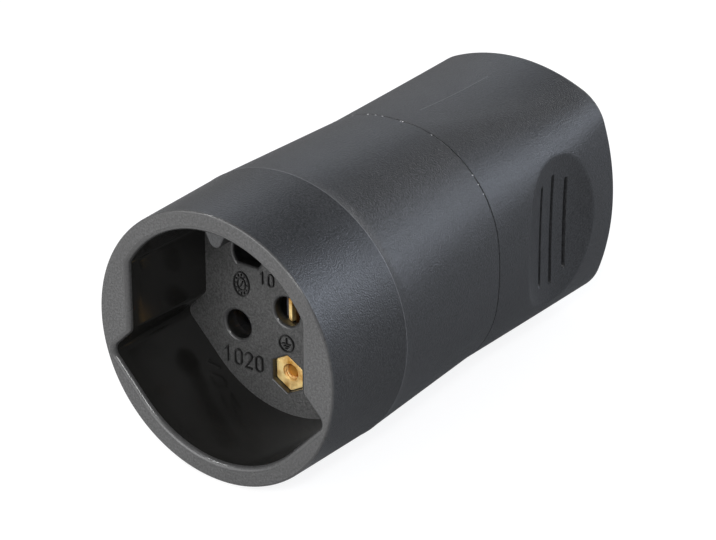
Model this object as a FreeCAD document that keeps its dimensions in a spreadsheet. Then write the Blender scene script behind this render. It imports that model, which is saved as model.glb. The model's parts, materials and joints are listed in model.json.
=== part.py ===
"""Inline socket connector: a keyed socket collar, a handle with finger scoops and the contacts inside.

Frame: millimetres, X to the right, Y from the socket's mouth back to the cord inlet, Z up.
The origin is the centre of the mouth.
"""
import FreeCAD, Part
import math
import os
from types import SimpleNamespace

import Sketcher

V = FreeCAD.Vector
ALONG_Y = FreeCAD.Rotation(V(1, 0, 0), -90)
ALONG_X = FreeCAD.Rotation(V(0, 1, 0), 90)
AGAINST_X = FreeCAD.Rotation(V(0, 1, 0), -90)
UPRIGHT = FreeCAD.Rotation()

SIZES = {
    # outer form of the front half
    "mouth_radius": 22.0,
    "mouth_edge_radius": 0.35,
    "parting_rise": 0.35,
    "parting_depth": 17.7,
    "seam_depth": 45.8,
    "seam_half_width": 19.8,
    "seam_half_height": 21.2,
    "seam_side_radius": 45.0,
    "seam_crown_radius": 47.0,
    "seam_corner_radius": 18.2,
    # outer form of the handle half
    "waist_depth": 63.0,
    "waist_half_width": 19.6,
    "waist_half_height": 20.1,
    "waist_side_radius": 42.5,
    "waist_crown_radius": 38.5,
    "waist_corner_radius": 13.0,
    "overall_length": 80.5,
    "end_half_width": 19.0,
    "end_half_height": 20.5,
    "end_side_radius": 40.0,
    "end_crown_radius": 30.5,
    "end_corner_radius": 8.0,
    "end_edge_radius": 0.8,
    # walls and the lap joint between the halves
    "wall": 2.4,
    "end_wall": 3.0,
    "lap_length": 4.0,
    "lap_inset": 1.2,
    "lap_clearance": 0.1,
    "seam_gap": 0.15,
    # socket recess
    "recess_depth": 17.5,
    "rim_width": 3.15,
    "recess_lean": 0.55,
    "flat_inset": 2.6,
    "flat_drop": 2.0,
    "shoulder_reach": 1.35,
    "shoulder_drop": 6.0,
    "recess_corner_radius": 1.5,
    "mouth_lead_radius": 0.8,
    "key_nose_radius": 1.2,
    "key_root_width": 4.6,
    "key_reach": 2.4,
    # socket floor
    "floor_thickness": 1.8,
    "pin_pitch": 19.0,
    "pin_drop": 5.8,
    "earth_rise": 5.0,
    "pin_hole_radius": 2.4,
    "pin_hole_chamfer": 0.45,
    "spare_hole_offset": 7.55,
    "spare_hole_height": 6.9,
    "spare_hole_radius": 2.75,
    "spare_hole_flat": 1.98,
    "spare_hole_depth": 10.0,
    # long assembly screw, its nut and the posts it runs through
    "nut_drop": 11.5,
    "nut_across_flats": 5.5,
    "nut_thickness": 2.4,
    "nut_countersink": 0.3,
    "nut_sink": 0.9,
    "nut_clearance": 0.1,
    "post_radius": 4.0,
    "screw_bore_radius": 1.7,
    "assembly_screw_length": 50.0,
    "counterbore_radius": 3.3,
    "counterbore_wall": 1.5,
    "washer_thickness": 0.7,
    # fasteners
    "thread_core_radius": 1.25,
    "thread_clearance": 0.03,
    "head_radius": 2.7,
    "head_height": 2.0,
    "slot_width": 0.8,
    "slot_depth": 1.0,
    "tip_chamfer": 0.4,
    # finger scoops with their grip slots
    "scoop_depth": 64.4,
    "scoop_floor_half_width": 17.0,
    "scoop_radius": 20.0,
    "scoop_bow_radius": 300.0,
    "scoop_half_height": 18.0,
    "grip_slot_pitch": 3.47,
    "grip_slot_width": 0.65,
    "grip_slot_depth": 0.7,
    "grip_slot_front": 17.4,
    "grip_slot_middle": 19.1,
    "grip_slot_rear": 15.8,
    # cord inlet
    "inlet_radius": 4.5,
    "inlet_length": 6.0,
    "inlet_wall": 1.6,
    "inlet_lead": 0.9,
    # contact carrier and retainer
    "carrier_clearance": 2.75,
    "carrier_length": 11.0,
    "carrier_front_wall": 1.0,
    "retainer_inset": 0.7,
    "retainer_thickness": 2.4,
    "fit_clearance": 0.2,
    "boss_inset": 4.2,
    "boss_height": 3.0,
    "boss_radius": 2.6,
    "boss_length": 5.0,
    "pilot_depth": 5.5,
    "carrier_screw_length": 12.0,
    # contacts and terminals
    "grip_half_gap": 1.9,
    "earth_half_gap": 0.1,
    "leaf_thickness": 0.6,
    "leaf_spread": 0.3,
    "leaf_height": 5.0,
    "leaf_tip_gap": 3.3,
    "earth_tip_gap": 0.1,
    "leaf_nip": 1.5,
    "leaf_bend": 3.5,
    "flange_size": 8.0,
    "flange_thickness": 1.0,
    "terminal_size": 6.2,
    "terminal_length": 8.0,
    "wire_bore_radius": 1.6,
    "terminal_screw_length": 4.0,
    "clip_thickness": 0.4,
    "clip_width": 1.4,
    "clip_clearance": 0.06,
    # cord clamp
    "tongue_half_width": 5.0,
    "tongue_thickness": 2.0,
    "tongue_clearance": 0.6,
    "clamp_depth": 52.0,
    "clamp_plate_half_width": 10.5,
    "clamp_plate_length": 10.0,
    "clamp_screw_offset": 7.8,
    "clamp_boss_radius": 2.6,
    "clamp_boss_height": 5.8,
    "clamp_bar_width": 6.0,
    "clamp_bar_thickness": 2.6,
    "clamp_saddle_radius": 4.2,
    "clamp_saddle_depth": 1.0,
    "clamp_screw_length": 9.0,
}

doc = FreeCAD.newDocument("inline_socket_connector")
sheet = doc.addObject("Spreadsheet::Sheet", "Size")
for row, (alias, value) in enumerate(SIZES.items(), start=1):
    sheet.set(f"A{row}", alias.replace("_", " "))
    sheet.set(f"B{row}", str(value))
    sheet.setAlias(f"B{row}", alias)
doc.recompute()


class Dim:
    """A length as a number in millimetres and as the sheet expression that gives it."""

    def __init__(self, mm, text):
        self.mm = mm
        self.text = text

    def __add__(self, other):
        other = as_dim(other)
        return Dim(self.mm + other.mm, f"({self.text} + {other.text})")

    def __sub__(self, other):
        other = as_dim(other)
        return Dim(self.mm - other.mm, f"({self.text} - {other.text})")

    def __mul__(self, factor):
        return Dim(self.mm * factor, f"({self.text} * {factor})")

    def __neg__(self):
        return self * -1


def as_dim(value):
    return value if isinstance(value, Dim) else Dim(value, f"({value})")


s = SimpleNamespace(**{alias: Dim(sheet.get(alias), f"Size.{alias}") for alias in SIZES})
ZERO = as_dim(0)

# sizes and places that several pieces share
parting_radius = s.mouth_radius + s.parting_rise
recess_radius = s.mouth_radius - s.rim_width
flat_half_width = recess_radius - s.flat_inset
shoulder_half_width = recess_radius + s.shoulder_reach
key_tip_height = recess_radius - s.key_reach
carrier_radius = parting_radius - s.wall - s.carrier_clearance
retainer_radius = carrier_radius - s.retainer_inset
boss_offset = carrier_radius - s.boss_inset
floor_back = s.recess_depth + s.floor_thickness
carrier_back = floor_back + s.carrier_length
retainer_back = carrier_back + s.retainer_thickness
flange_front = carrier_back - s.flange_thickness
earth_height = s.earth_rise - s.pin_drop
nut_pocket_depth = s.nut_thickness + s.nut_sink
nut_pocket_flats = s.nut_across_flats + s.nut_clearance * 2
screw_seat = s.recess_depth + s.nut_sink + s.assembly_screw_length
fork_half_width = s.grip_half_gap + s.leaf_spread + s.leaf_thickness
chamber_half_width = fork_half_width + s.clip_thickness + s.fit_clearance
chamber_half_height = s.leaf_height * 0.5 + s.clip_thickness + s.fit_clearance * 2
tongue_top = s.post_radius + s.tongue_clearance + s.tongue_thickness - s.nut_drop
tongue_bottom = tongue_top - s.tongue_thickness
clamp_seat = tongue_top + s.clamp_boss_height
tapped_radius = s.thread_core_radius + s.thread_clearance
post_hole_radius = s.post_radius + s.fit_clearance
# the earth's chamber opens at the socket floor, so that its leaves reach the pin first
chamber_front = floor_back + s.carrier_front_wall
earth_chamber_front = floor_back
PIN_PLACES = {
    "line": (s.pin_pitch * -0.5, -s.pin_drop, AGAINST_X),
    "neutral": (s.pin_pitch * 0.5, -s.pin_drop, ALONG_X),
    "earth": (ZERO, earth_height, UPRIGHT),
}


# document objects bound to the sheet

def bind(obj, **sizes):
    """Binds properties to sheet expressions; a double underscore in a name stands for a dot."""
    for name, dim in sizes.items():
        obj.setExpression(name.replace("__", "."), as_dim(dim).text)
    return obj


def place(obj, x=ZERO, y=ZERO, z=ZERO, turn=UPRIGHT):
    obj.Placement = FreeCAD.Placement(V(0, 0, 0), turn)
    return bind(obj, Placement__Base__x=x, Placement__Base__y=y, Placement__Base__z=z)


def box(name, x, y, z):
    """A box between two bounds along each axis."""
    obj = doc.addObject("Part::Box", name)
    bind(obj, Length=x[1] - x[0], Width=y[1] - y[0], Height=z[1] - z[0])
    return place(obj, x[0], y[0], z[0])


def both_ways(half):
    return -half, half


def hand(side):
    return "right" if side > 0 else "left"


def centred_box(name, x, z, width, height, front, back):
    half, rise = width * 0.5, height * 0.5
    return box(name, (x - half, x + half), (front, back), (z - rise, z + rise))


def rod(name, radius, front, back, x=ZERO, z=ZERO):
    """A cylinder along Y between two depths."""
    obj = bind(doc.addObject("Part::Cylinder", name), Radius=radius, Height=back - front)
    return place(obj, x, front, z, ALONG_Y)


def pillar(name, radius, bottom, top, x=ZERO, y=ZERO):
    """A cylinder along Z between two heights."""
    obj = bind(doc.addObject("Part::Cylinder", name), Radius=radius, Height=top - bottom)
    return place(obj, x, y, bottom)


def fuse(name, shapes):
    obj = doc.addObject("Part::MultiFuse", name)
    obj.Shapes = shapes
    return obj


def cut(name, base, tools):
    obj = doc.addObject("Part::Cut", name)
    obj.Base = base
    obj.Tool = tools[0] if len(tools) == 1 else fuse(name + "_tools", tools)
    return obj


# sketches

def new_body(name):
    return doc.addObject("PartDesign::Body", name)


def new_sketch(body, name, depth=ZERO, role="XZ_Plane"):
    """A sketch on an origin plane of its body; on the XZ plane, depth moves it back along Y."""
    sk = body.newObject("Sketcher::SketchObject", name)
    support = [f for f in body.Origin.OriginFeatures if f.Role == role][0]
    sk.AttachmentSupport = [(support, "")]
    sk.MapMode = "FlatFace"
    bind(sk, AttachmentOffset__Base__z=-depth)
    return sk


def measure(sk, kind, *where_and_dim):
    """Adds a driven constraint whose value follows the sheet."""
    *where, dim = where_and_dim
    index = sk.addConstraint(Sketcher.Constraint(kind, *where, dim.mm))
    sk.renameConstraint(index, f"size_{index}")
    sk.setExpression(f"Constraints.size_{index}", dim.text)


def relate(sk, kind, *where):
    sk.addConstraint(Sketcher.Constraint(kind, *where))


def locate(sk, geometry, point, x, y):
    measure(sk, "DistanceX", -1, 1, geometry, point, as_dim(x))
    measure(sk, "DistanceY", -1, 1, geometry, point, as_dim(y))


def circle(sk, radius, x=ZERO, y=ZERO):
    index = sk.addGeometry(Part.Circle(V(x.mm, y.mm, 0), V(0, 0, 1), radius.mm))
    measure(sk, "Radius", index, radius)
    locate(sk, index, 3, x, y)


def polygon(sk, points):
    """A closed outline of straight lines through the points."""
    points = [(as_dim(x), as_dim(y)) for x, y in points]
    first = None
    for (x0, y0), (x1, y1) in zip(points, points[1:] + points[:1]):
        index = sk.addGeometry(Part.LineSegment(V(x0.mm, y0.mm, 0), V(x1.mm, y1.mm, 0)))
        first = index if first is None else first
        locate(sk, index, 1, x0, y0)
    last = first + len(points) - 1
    for index in range(first, last + 1):
        relate(sk, "Coincident", index, 2, index + 1 if index < last else first, 1)


def arc(sk, x, y, radius, start, end):
    ring = Part.Circle(V(x, y, 0), V(0, 0, 1), radius)
    return sk.addGeometry(Part.ArcOfCircle(ring, start, end))


def pillow(sk, form, inset=ZERO):
    """A crowned rounded rectangle: two side arcs, two crown arcs and four corner arcs, all tangent."""
    half_width = getattr(s, form + "_half_width") - inset
    half_height = getattr(s, form + "_half_height") - inset
    side = getattr(s, form + "_side_radius") - inset
    crown = getattr(s, form + "_crown_radius") - inset
    corner = getattr(s, form + "_corner_radius") - inset
    side_x = half_width - side
    crown_y = half_height - crown
    # the corner's centre lies where it is tangent to the side arc and to the crown arc
    from_side, from_crown = side.mm - corner.mm, crown.mm - corner.mm
    span = math.hypot(side_x.mm, crown_y.mm)
    along = (from_crown ** 2 - from_side ** 2 + span ** 2) / (2 * span)
    across = math.sqrt(from_crown ** 2 - along ** 2)
    corner_x = (along * side_x.mm - across * crown_y.mm) / span
    corner_y = crown_y.mm + (-along * crown_y.mm - across * side_x.mm) / span
    low = math.atan2(corner_y, corner_x - side_x.mm)
    high = math.atan2(corner_y - crown_y.mm, corner_x)
    half_turn, turn = math.pi, 2 * math.pi
    arc(sk, side_x.mm, 0, side.mm, -low, low)
    arc(sk, corner_x, corner_y, corner.mm, low, high)
    arc(sk, 0, crown_y.mm, crown.mm, high, half_turn - high)
    arc(sk, -corner_x, corner_y, corner.mm, half_turn - high, half_turn - low)
    arc(sk, -side_x.mm, 0, side.mm, half_turn - low, half_turn + low)
    arc(sk, -corner_x, -corner_y, corner.mm, half_turn + low, half_turn + high)
    arc(sk, 0, -crown_y.mm, crown.mm, half_turn + high, turn - high)
    arc(sk, corner_x, -corner_y, corner.mm, turn - high, turn - low)
    for index in range(8):
        relate(sk, "Tangent", index, 2, (index + 1) % 8, 1)
    for index, axis in ((0, -1), (4, -1), (2, -2), (6, -2)):
        relate(sk, "PointOnObject", index, 3, axis)
    for one, other in ((0, 4), (2, 6), (1, 3), (3, 5), (5, 7)):
        relate(sk, "Equal", one, other)
    for index, radius in ((0, side), (1, corner), (2, crown)):
        measure(sk, "Radius", index, radius)
    measure(sk, "DistanceX", -1, 1, 0, 3, side_x)
    measure(sk, "DistanceX", -1, 1, 4, 3, -side_x)
    measure(sk, "DistanceY", -1, 1, 2, 3, crown_y)
    measure(sk, "DistanceY", -1, 1, 6, 3, -crown_y)


def recess_outline(sk, lean):
    """The socket's outline: a round, side flats that step out to a shoulder, and lines to a lower round."""
    radius = recess_radius - lean
    flat = flat_half_width - lean
    tip = shoulder_half_width - lean
    drop, shoulder = -s.flat_drop, -s.shoulder_drop
    flat_top = math.sqrt(radius.mm ** 2 - flat.mm ** 2)
    top = math.atan2(flat_top, flat.mm)
    # the lower lines touch the round where a line from the shoulder is tangent to it
    low = math.atan2(-shoulder.mm, tip.mm) + math.acos(radius.mm / math.hypot(tip.mm, shoulder.mm))
    touch = (-radius.mm * math.cos(low), -radius.mm * math.sin(low))
    arc(sk, 0, 0, radius.mm, top, math.pi - top)
    corners = [(-flat.mm, flat_top), (-flat.mm, drop.mm), (-tip.mm, shoulder.mm), touch]
    for (x0, y0), (x1, y1) in zip(corners, corners[1:]):
        sk.addGeometry(Part.LineSegment(V(x0, y0, 0), V(x1, y1, 0)))
    arc(sk, 0, 0, radius.mm, math.pi + low, 2 * math.pi - low)
    for (x0, y0), (x1, y1) in zip(corners[::-1], corners[-2::-1]):
        sk.addGeometry(Part.LineSegment(V(-x0, y0, 0), V(-x1, y1, 0)))
    for index in range(8):
        smooth = index in (3, 4)
        relate(sk, "Tangent" if smooth else "Coincident", index, 2, (index + 1) % 8, 1)
    for index in (0, 4):
        relate(sk, "Coincident", index, 3, -1, 1)
    relate(sk, "Equal", 0, 4)
    measure(sk, "Radius", 0, radius)
    for index in (1, 7):
        relate(sk, "Vertical", index)
    measure(sk, "DistanceX", -1, 1, 1, 1, -flat)
    measure(sk, "DistanceX", -1, 1, 7, 1, flat)
    measure(sk, "DistanceY", -1, 1, 1, 2, drop)
    measure(sk, "DistanceY", -1, 1, 7, 1, drop)
    locate(sk, 2, 2, -tip, shoulder)
    locate(sk, 6, 1, tip, shoulder)


def spare_outline(sk, side):
    """A round hole with a flat at its lower side."""
    x = s.spare_hole_offset * side
    y = s.spare_hole_height
    radius = s.spare_hole_radius
    half = math.sqrt(radius.mm ** 2 - s.spare_hole_flat.mm ** 2)
    dip = math.asin(s.spare_hole_flat.mm / radius.mm)
    ring = arc(sk, x.mm, y.mm, radius.mm, -dip, math.pi + dip)
    base = y.mm - s.spare_hole_flat.mm
    flat = sk.addGeometry(Part.LineSegment(V(x.mm - half, base, 0), V(x.mm + half, base, 0)))
    relate(sk, "Coincident", ring, 2, flat, 1)
    relate(sk, "Coincident", flat, 2, ring, 1)
    relate(sk, "Horizontal", flat)
    measure(sk, "Radius", ring, radius)
    locate(sk, ring, 3, x, y)
    measure(sk, "DistanceY", -1, 1, flat, 1, y - s.spare_hole_flat)


def key_outline(sk):
    """The key rib: sides that close in on a round nose, rooted in the collar."""
    half = s.key_root_width * 0.5
    radius = s.key_nose_radius
    centre = key_tip_height + radius
    root = recess_radius + s.mouth_lead_radius
    # the sides touch the nose where a line from the root's corner is tangent to it
    rise = root.mm - centre.mm
    dip = math.acos(radius.mm / math.hypot(half.mm, rise)) - math.atan2(rise, half.mm)
    touch_x, touch_y = radius.mm * math.cos(dip), centre.mm - radius.mm * math.sin(dip)
    nose = arc(sk, 0, centre.mm, radius.mm, math.pi + dip, 2 * math.pi - dip)
    corners = [(touch_x, touch_y), (half.mm, root.mm), (-half.mm, root.mm), (-touch_x, touch_y)]
    for (x0, y0), (x1, y1) in zip(corners, corners[1:]):
        sk.addGeometry(Part.LineSegment(V(x0, y0, 0), V(x1, y1, 0)))
    relate(sk, "Tangent", nose, 2, 1, 1)
    relate(sk, "Coincident", 1, 2, 2, 1)
    relate(sk, "Coincident", 2, 2, 3, 1)
    relate(sk, "Tangent", 3, 2, nose, 1)
    measure(sk, "Radius", nose, radius)
    locate(sk, nose, 3, ZERO, centre)
    locate(sk, 2, 1, half, root)
    locate(sk, 2, 2, -half, root)


def hexagon(sk, across_flats, x, y):
    """A hexagon with a point up and a point down."""
    half = across_flats * 0.5
    corner = across_flats * (1 / math.sqrt(3))
    polygon(sk, [(x, y + corner), (x - half, y + corner * 0.5), (x - half, y - corner * 0.5),
                 (x, y - corner), (x + half, y - corner * 0.5), (x + half, y + corner * 0.5)])


# features

def feature(body, kind, name, profile, **sizes):
    obj = body.newObject("PartDesign::" + kind, name)
    obj.Profile = profile
    return bind(obj, **sizes)


def pad_back(body, name, profile, length):
    """Adds material from the sketch towards the rear."""
    obj = feature(body, "Pad", name, profile, Length=length)
    obj.Reversed = True
    return obj


def pocket_back(body, name, profile, length):
    """Takes material away from the sketch towards the rear."""
    return feature(body, "Pocket", name, profile, Length=length)


def loft(body, kind, name, sketches):
    obj = feature(body, kind, name, sketches[0])
    obj.Sections = sketches[1:]
    return obj


def dress(body, kind, name, size_name, size, wanted):
    """Rounds or chamfers the edges of the body's last shape that the test picks."""
    doc.recompute()
    base = body.Tip
    edges = [f"Edge{i}" for i, edge in enumerate(base.Shape.Edges, start=1) if wanted(edge)]
    if not edges:
        raise RuntimeError(f"{name}: no edge found")
    obj = body.newObject("PartDesign::" + kind, name)
    obj.Base = (base, edges)
    return bind(obj, **{size_name: size})


def at_depth(edge, depth, tolerance=1e-4):
    """True when the whole edge lies in the plane at that depth."""
    limits = edge.BoundBox
    return abs(limits.YMin - depth.mm) < tolerance and abs(limits.YMax - depth.mm) < tolerance


def reach(edge):
    """The farthest an edge gets from the Y axis."""
    return max(math.hypot(p.x, p.z) for p in edge.discretize(9))


# front half

def front_housing():
    body = new_body("front_housing")
    profile = new_sketch(body, "collar_profile", role="XY_Plane")
    polygon(profile, [(ZERO, ZERO), (s.mouth_radius, ZERO), (parting_radius, s.parting_depth),
                      (ZERO, s.parting_depth)])
    collar = feature(body, "Revolution", "collar", profile)
    collar.ReferenceAxis = (profile, ["V_Axis"])
    dress(body, "Fillet", "mouth_edge", "Radius", s.mouth_edge_radius, lambda edge: at_depth(edge, ZERO))
    ring = new_sketch(body, "parting_ring", s.parting_depth)
    circle(ring, parting_radius)
    seam = new_sketch(body, "seam_outline", s.seam_depth)
    pillow(seam, "seam")
    loft(body, "AdditiveLoft", "sleeve", [ring, seam])
    lap = new_sketch(body, "lap_outline", s.seam_depth)
    pillow(lap, "seam", s.lap_inset)
    pad_back(body, "lap", lap, s.lap_length)
    inner_ring = new_sketch(body, "cavity_front", floor_back)
    circle(inner_ring, parting_radius - s.wall)
    inner_seam = new_sketch(body, "cavity_back", s.seam_depth)
    pillow(inner_seam, "seam", s.wall)
    loft(body, "SubtractiveLoft", "cavity", [inner_ring, inner_seam])
    lap_bore = new_sketch(body, "lap_bore", s.seam_depth)
    pillow(lap_bore, "seam", s.wall)
    pocket_back(body, "lap_opening", lap_bore, s.lap_length)
    mouth = new_sketch(body, "recess_mouth")
    recess_outline(mouth, ZERO)
    floor = new_sketch(body, "recess_floor", s.recess_depth)
    recess_outline(floor, s.recess_lean)
    loft(body, "SubtractiveLoft", "recess", [mouth, floor])
    socket_edges(body)
    key = new_sketch(body, "key_outline", s.mouth_lead_radius)
    key_outline(key)
    pad_back(body, "key_rib", key, s.recess_depth - s.mouth_lead_radius)
    socket_floor(body)
    return body


def socket_edges(body):
    """Rounds the recess's lengthwise corners, then its mouth."""
    rim_limit = s.mouth_radius.mm - s.mouth_edge_radius.mm * 1.2
    # below the shoulders the lines run smoothly into the round
    lowest_corner = -s.shoulder_drop.mm - s.recess_corner_radius.mm

    def lengthwise(edge):
        limits = edge.BoundBox
        along = limits.YMin < s.recess_depth.mm * 0.1 and limits.YMax > s.recess_depth.mm * 0.9
        return along and reach(edge) < rim_limit and limits.ZMin > lowest_corner

    def mouth(edge):
        return at_depth(edge, ZERO) and reach(edge) < rim_limit

    dress(body, "Fillet", "recess_corners", "Radius", s.recess_corner_radius, lengthwise)
    dress(body, "Fillet", "mouth_lead_in", "Radius", s.mouth_lead_radius, mouth)


def on_hole_rim(edge):
    """True for an edge of the socket floor that goes round a pin hole or a spare hole."""
    centres = [(x.mm, z.mm) for x, z, _ in PIN_PLACES.values()]
    centres += [(s.spare_hole_offset.mm * side, s.spare_hole_height.mm) for side in (-1, 1)]
    around = s.spare_hole_radius.mm + s.pin_hole_chamfer.mm
    return at_depth(edge, s.recess_depth) and any(
        all(math.hypot(p.x - x, p.z - z) < around for p in edge.discretize(9)) for x, z in centres)


def socket_floor(body):
    """Pin holes, spare holes, nut pocket, screw post and the bosses behind the floor."""
    holes = new_sketch(body, "floor_holes", s.recess_depth)
    for x, z, _ in PIN_PLACES.values():
        circle(holes, s.pin_hole_radius, x, z)
    for side in (-1, 1):
        spare_outline(holes, side)
    pocket_back(body, "floor_openings", holes, s.floor_thickness)
    dress(body, "Chamfer", "hole_chamfers", "Size", s.pin_hole_chamfer, on_hole_rim)
    post = new_sketch(body, "post_outline", floor_back)
    circle(post, s.post_radius, ZERO, -s.nut_drop)
    pad_back(body, "screw_post", post, s.seam_depth - floor_back)
    nut = new_sketch(body, "nut_outline", s.recess_depth)
    hexagon(nut, nut_pocket_flats, ZERO, -s.nut_drop)
    pocket_back(body, "nut_pocket", nut, nut_pocket_depth)
    bore = new_sketch(body, "screw_bore_outline", s.recess_depth)
    circle(bore, s.screw_bore_radius, ZERO, -s.nut_drop)
    pocket_back(body, "screw_bore", bore, s.seam_depth - s.recess_depth)
    bosses = new_sketch(body, "boss_outlines", floor_back)
    pilots = new_sketch(body, "pilot_outlines", floor_back + s.boss_length - s.pilot_depth)
    for side in (-1, 1):
        circle(bosses, s.boss_radius, boss_offset * side, s.boss_height)
        circle(pilots, tapped_radius, boss_offset * side, s.boss_height)
    pad_back(body, "carrier_bosses", bosses, s.boss_length)
    pocket_back(body, "pilot_holes", pilots, s.pilot_depth)


# handle half

def handle_form(name, inset, front, back):
    """A solid lofted through the seam, waist and end outlines, all set in by the same amount."""
    body = new_body(name)
    sketches = []
    for form, depth in (("seam", front), ("waist", s.waist_depth), ("end", back)):
        sk = new_sketch(body, f"{name}_{form}", depth)
        pillow(sk, form, inset)
        sketches.append(sk)
    loft(body, "AdditiveLoft", name + "_loft", sketches)
    return body


def scoop(name, side, grow=ZERO):
    """The barrel that hollows one finger scoop or, grown by the wall, the bulge that it makes inside."""
    body = new_body(name)
    profile = new_sketch(body, name + "_profile")
    bow = s.scoop_bow_radius + grow
    centre = s.scoop_radius - s.scoop_bow_radius
    rise = s.scoop_half_height + grow
    lift = math.asin(rise.mm / bow.mm)
    edge = centre.mm + bow.mm * math.cos(lift)
    stave = arc(profile, centre.mm, 0, bow.mm, -lift, lift)
    corners = [(edge, rise.mm), (0, rise.mm), (0, -rise.mm), (edge, -rise.mm)]
    for (x0, y0), (x1, y1) in zip(corners, corners[1:]):
        profile.addGeometry(Part.LineSegment(V(x0, y0, 0), V(x1, y1, 0)))
    for index in range(4):
        relate(profile, "Coincident", index, 2, (index + 1) % 4, 1)
    measure(profile, "Radius", stave, bow)
    locate(profile, stave, 3, centre, ZERO)
    locate(profile, 2, 1, ZERO, rise)
    locate(profile, 2, 2, ZERO, -rise)
    relate(profile, "Horizontal", 1)
    relate(profile, "Horizontal", 3)
    turned = feature(body, "Revolution", name + "_barrel", profile)
    turned.ReferenceAxis = (profile, ["V_Axis"])
    facing = FreeCAD.Rotation(V(0, 0, 1), 0 if side > 0 else 180)
    return place(body, (s.scoop_floor_half_width + s.scoop_radius) * side, s.scoop_depth, ZERO, facing)


def grip_slot(side, step):
    length = (s.grip_slot_front, s.grip_slot_middle, s.grip_slot_rear)[step + 1]
    middle = s.scoop_depth + s.grip_slot_pitch * step
    inner, outer = (s.scoop_floor_half_width - s.grip_slot_depth) * side, s.end_half_width * side
    half = s.grip_slot_width * 0.5
    name = f"grip_slot_{hand(side)}_{step + 2}"
    return box(name, (inner, outer) if side > 0 else (outer, inner), (middle - half, middle + half),
               (length * -0.5, length * 0.5))


def rounded_end(body):
    """Rolls the handle's end over to its flat rear face in a quarter round."""
    sketches = []
    for angle in (0, 45, 90):
        turn = math.radians(angle)
        depth = s.overall_length - s.end_edge_radius * (1 - math.sin(turn))
        sk = new_sketch(body, f"end_round_{angle}", depth)
        pillow(sk, "end", s.end_edge_radius * (1 - math.cos(turn)))
        sketches.append(sk)
    loft(body, "AdditiveLoft", "end_round", sketches)


def rear_cap():
    front = s.seam_depth + s.seam_gap
    outer = handle_form("cap_outer", ZERO, front, s.overall_length - s.end_edge_radius)
    rounded_end(outer)
    inside = handle_form("cap_inside", s.wall, s.seam_depth, s.overall_length - s.end_wall)
    rebate = new_sketch(inside, "rebate_outline", s.seam_depth)
    pillow(rebate, "seam", s.lap_inset - s.lap_clearance)
    pad_back(inside, "rebate", rebate, s.lap_length + s.lap_clearance)
    core = cut("cap_core", inside, [scoop("bulge_right", 1, s.wall), scoop("bulge_left", -1, s.wall)])
    shell = cut("cap_shell", outer, [core])
    head_room = s.counterbore_radius + s.counterbore_wall
    end_inside = s.overall_length - s.end_wall * 0.5
    inlet_front = s.overall_length - s.inlet_length
    solid = fuse("cap_solid", [
        shell,
        rod("cap_post", s.post_radius, s.seam_depth, end_inside, z=-s.nut_drop),
        rod("head_post", head_room, screw_seat - s.end_wall, end_inside, z=-s.nut_drop),
        rod("inlet_collar", s.inlet_radius + s.inlet_wall, inlet_front, end_inside),
    ])
    lead = doc.addObject("Part::Cone", "inlet_lead")
    bind(lead, Radius1=s.inlet_radius, Radius2=s.inlet_radius + s.inlet_lead, Height=s.inlet_lead)
    place(lead, ZERO, s.overall_length - s.inlet_lead, ZERO, ALONG_Y)
    tools = [
        scoop("scoop_right", 1),
        scoop("scoop_left", -1),
        rod("cap_screw_bore", s.screw_bore_radius, s.seam_depth, screw_seat, z=-s.nut_drop),
        rod("head_bore", s.counterbore_radius, screw_seat, s.overall_length, z=-s.nut_drop),
        rod("inlet_bore", s.inlet_radius, inlet_front, s.overall_length),
        lead,
    ]
    tools += [grip_slot(side, step) for side in (-1, 1) for step in (-1, 0, 1)]
    return cut("rear_cap", solid, tools)


# fasteners

def screw(name, length, x, y, z, turn):
    """A slotted screw: the given place is under its head, which stands along the turned Z axis."""
    body = new_body(name)
    profile = new_sketch(body, name + "_profile", role="XZ_Plane")
    tip = s.thread_core_radius - s.tip_chamfer
    polygon(profile, [(ZERO, s.head_height), (ZERO, -length), (tip, -length),
                      (s.thread_core_radius, s.tip_chamfer - length), (s.thread_core_radius, ZERO),
                      (s.head_radius, ZERO), (s.head_radius, s.head_height)])
    turned = feature(body, "Revolution", name + "_turned", profile)
    turned.ReferenceAxis = (profile, ["V_Axis"])
    slot = new_sketch(body, name + "_slot", role="XZ_Plane")
    half = s.slot_width * 0.5
    floor = s.head_height - s.slot_depth
    polygon(slot, [(-half, floor), (half, floor), (half, s.head_height), (-half, s.head_height)])
    driver = feature(body, "Pocket", name + "_driver", slot, Length=s.head_radius * 2)
    driver.SideType = "Symmetric"
    return place(body, x, y, z, turn)


def hex_nut():
    """A brass nut: points up and down, countersunk bore."""
    body = new_body("hex_nut")
    outline = new_sketch(body, "nut_hexagon")
    hexagon(outline, s.nut_across_flats, ZERO, ZERO)
    pad_back(body, "nut_blank", outline, s.nut_thickness)
    bore = new_sketch(body, "nut_bore_outline")
    circle(bore, tapped_radius)
    pocket_back(body, "nut_bore", bore, s.nut_thickness)
    inside = s.nut_across_flats.mm * 0.5
    dress(body, "Chamfer", "nut_bore_countersink", "Size", s.nut_countersink,
          lambda edge: edge.BoundBox.YLength < s.nut_countersink.mm and reach(edge) < inside)
    return place(body, ZERO, s.recess_depth + s.nut_sink, -s.nut_drop)


def assembly_washer():
    back = screw_seat + s.washer_thickness
    ring = rod("washer_ring", s.head_radius, screw_seat, back, z=-s.nut_drop)
    hole = rod("washer_hole", s.screw_bore_radius, screw_seat, back, z=-s.nut_drop)
    return cut("assembly_washer", ring, [hole])


# contacts

def fork_half_gap(name):
    """Half the gap between the leaves; the earth's leaves stand nearly closed until the pin parts them."""
    return s.earth_half_gap if name == "earth" else s.grip_half_gap


def fork_front(name):
    """The depth of the leaves' tips."""
    return earth_chamber_front + s.earth_tip_gap if name == "earth" else chamber_front + s.leaf_tip_gap


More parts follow.
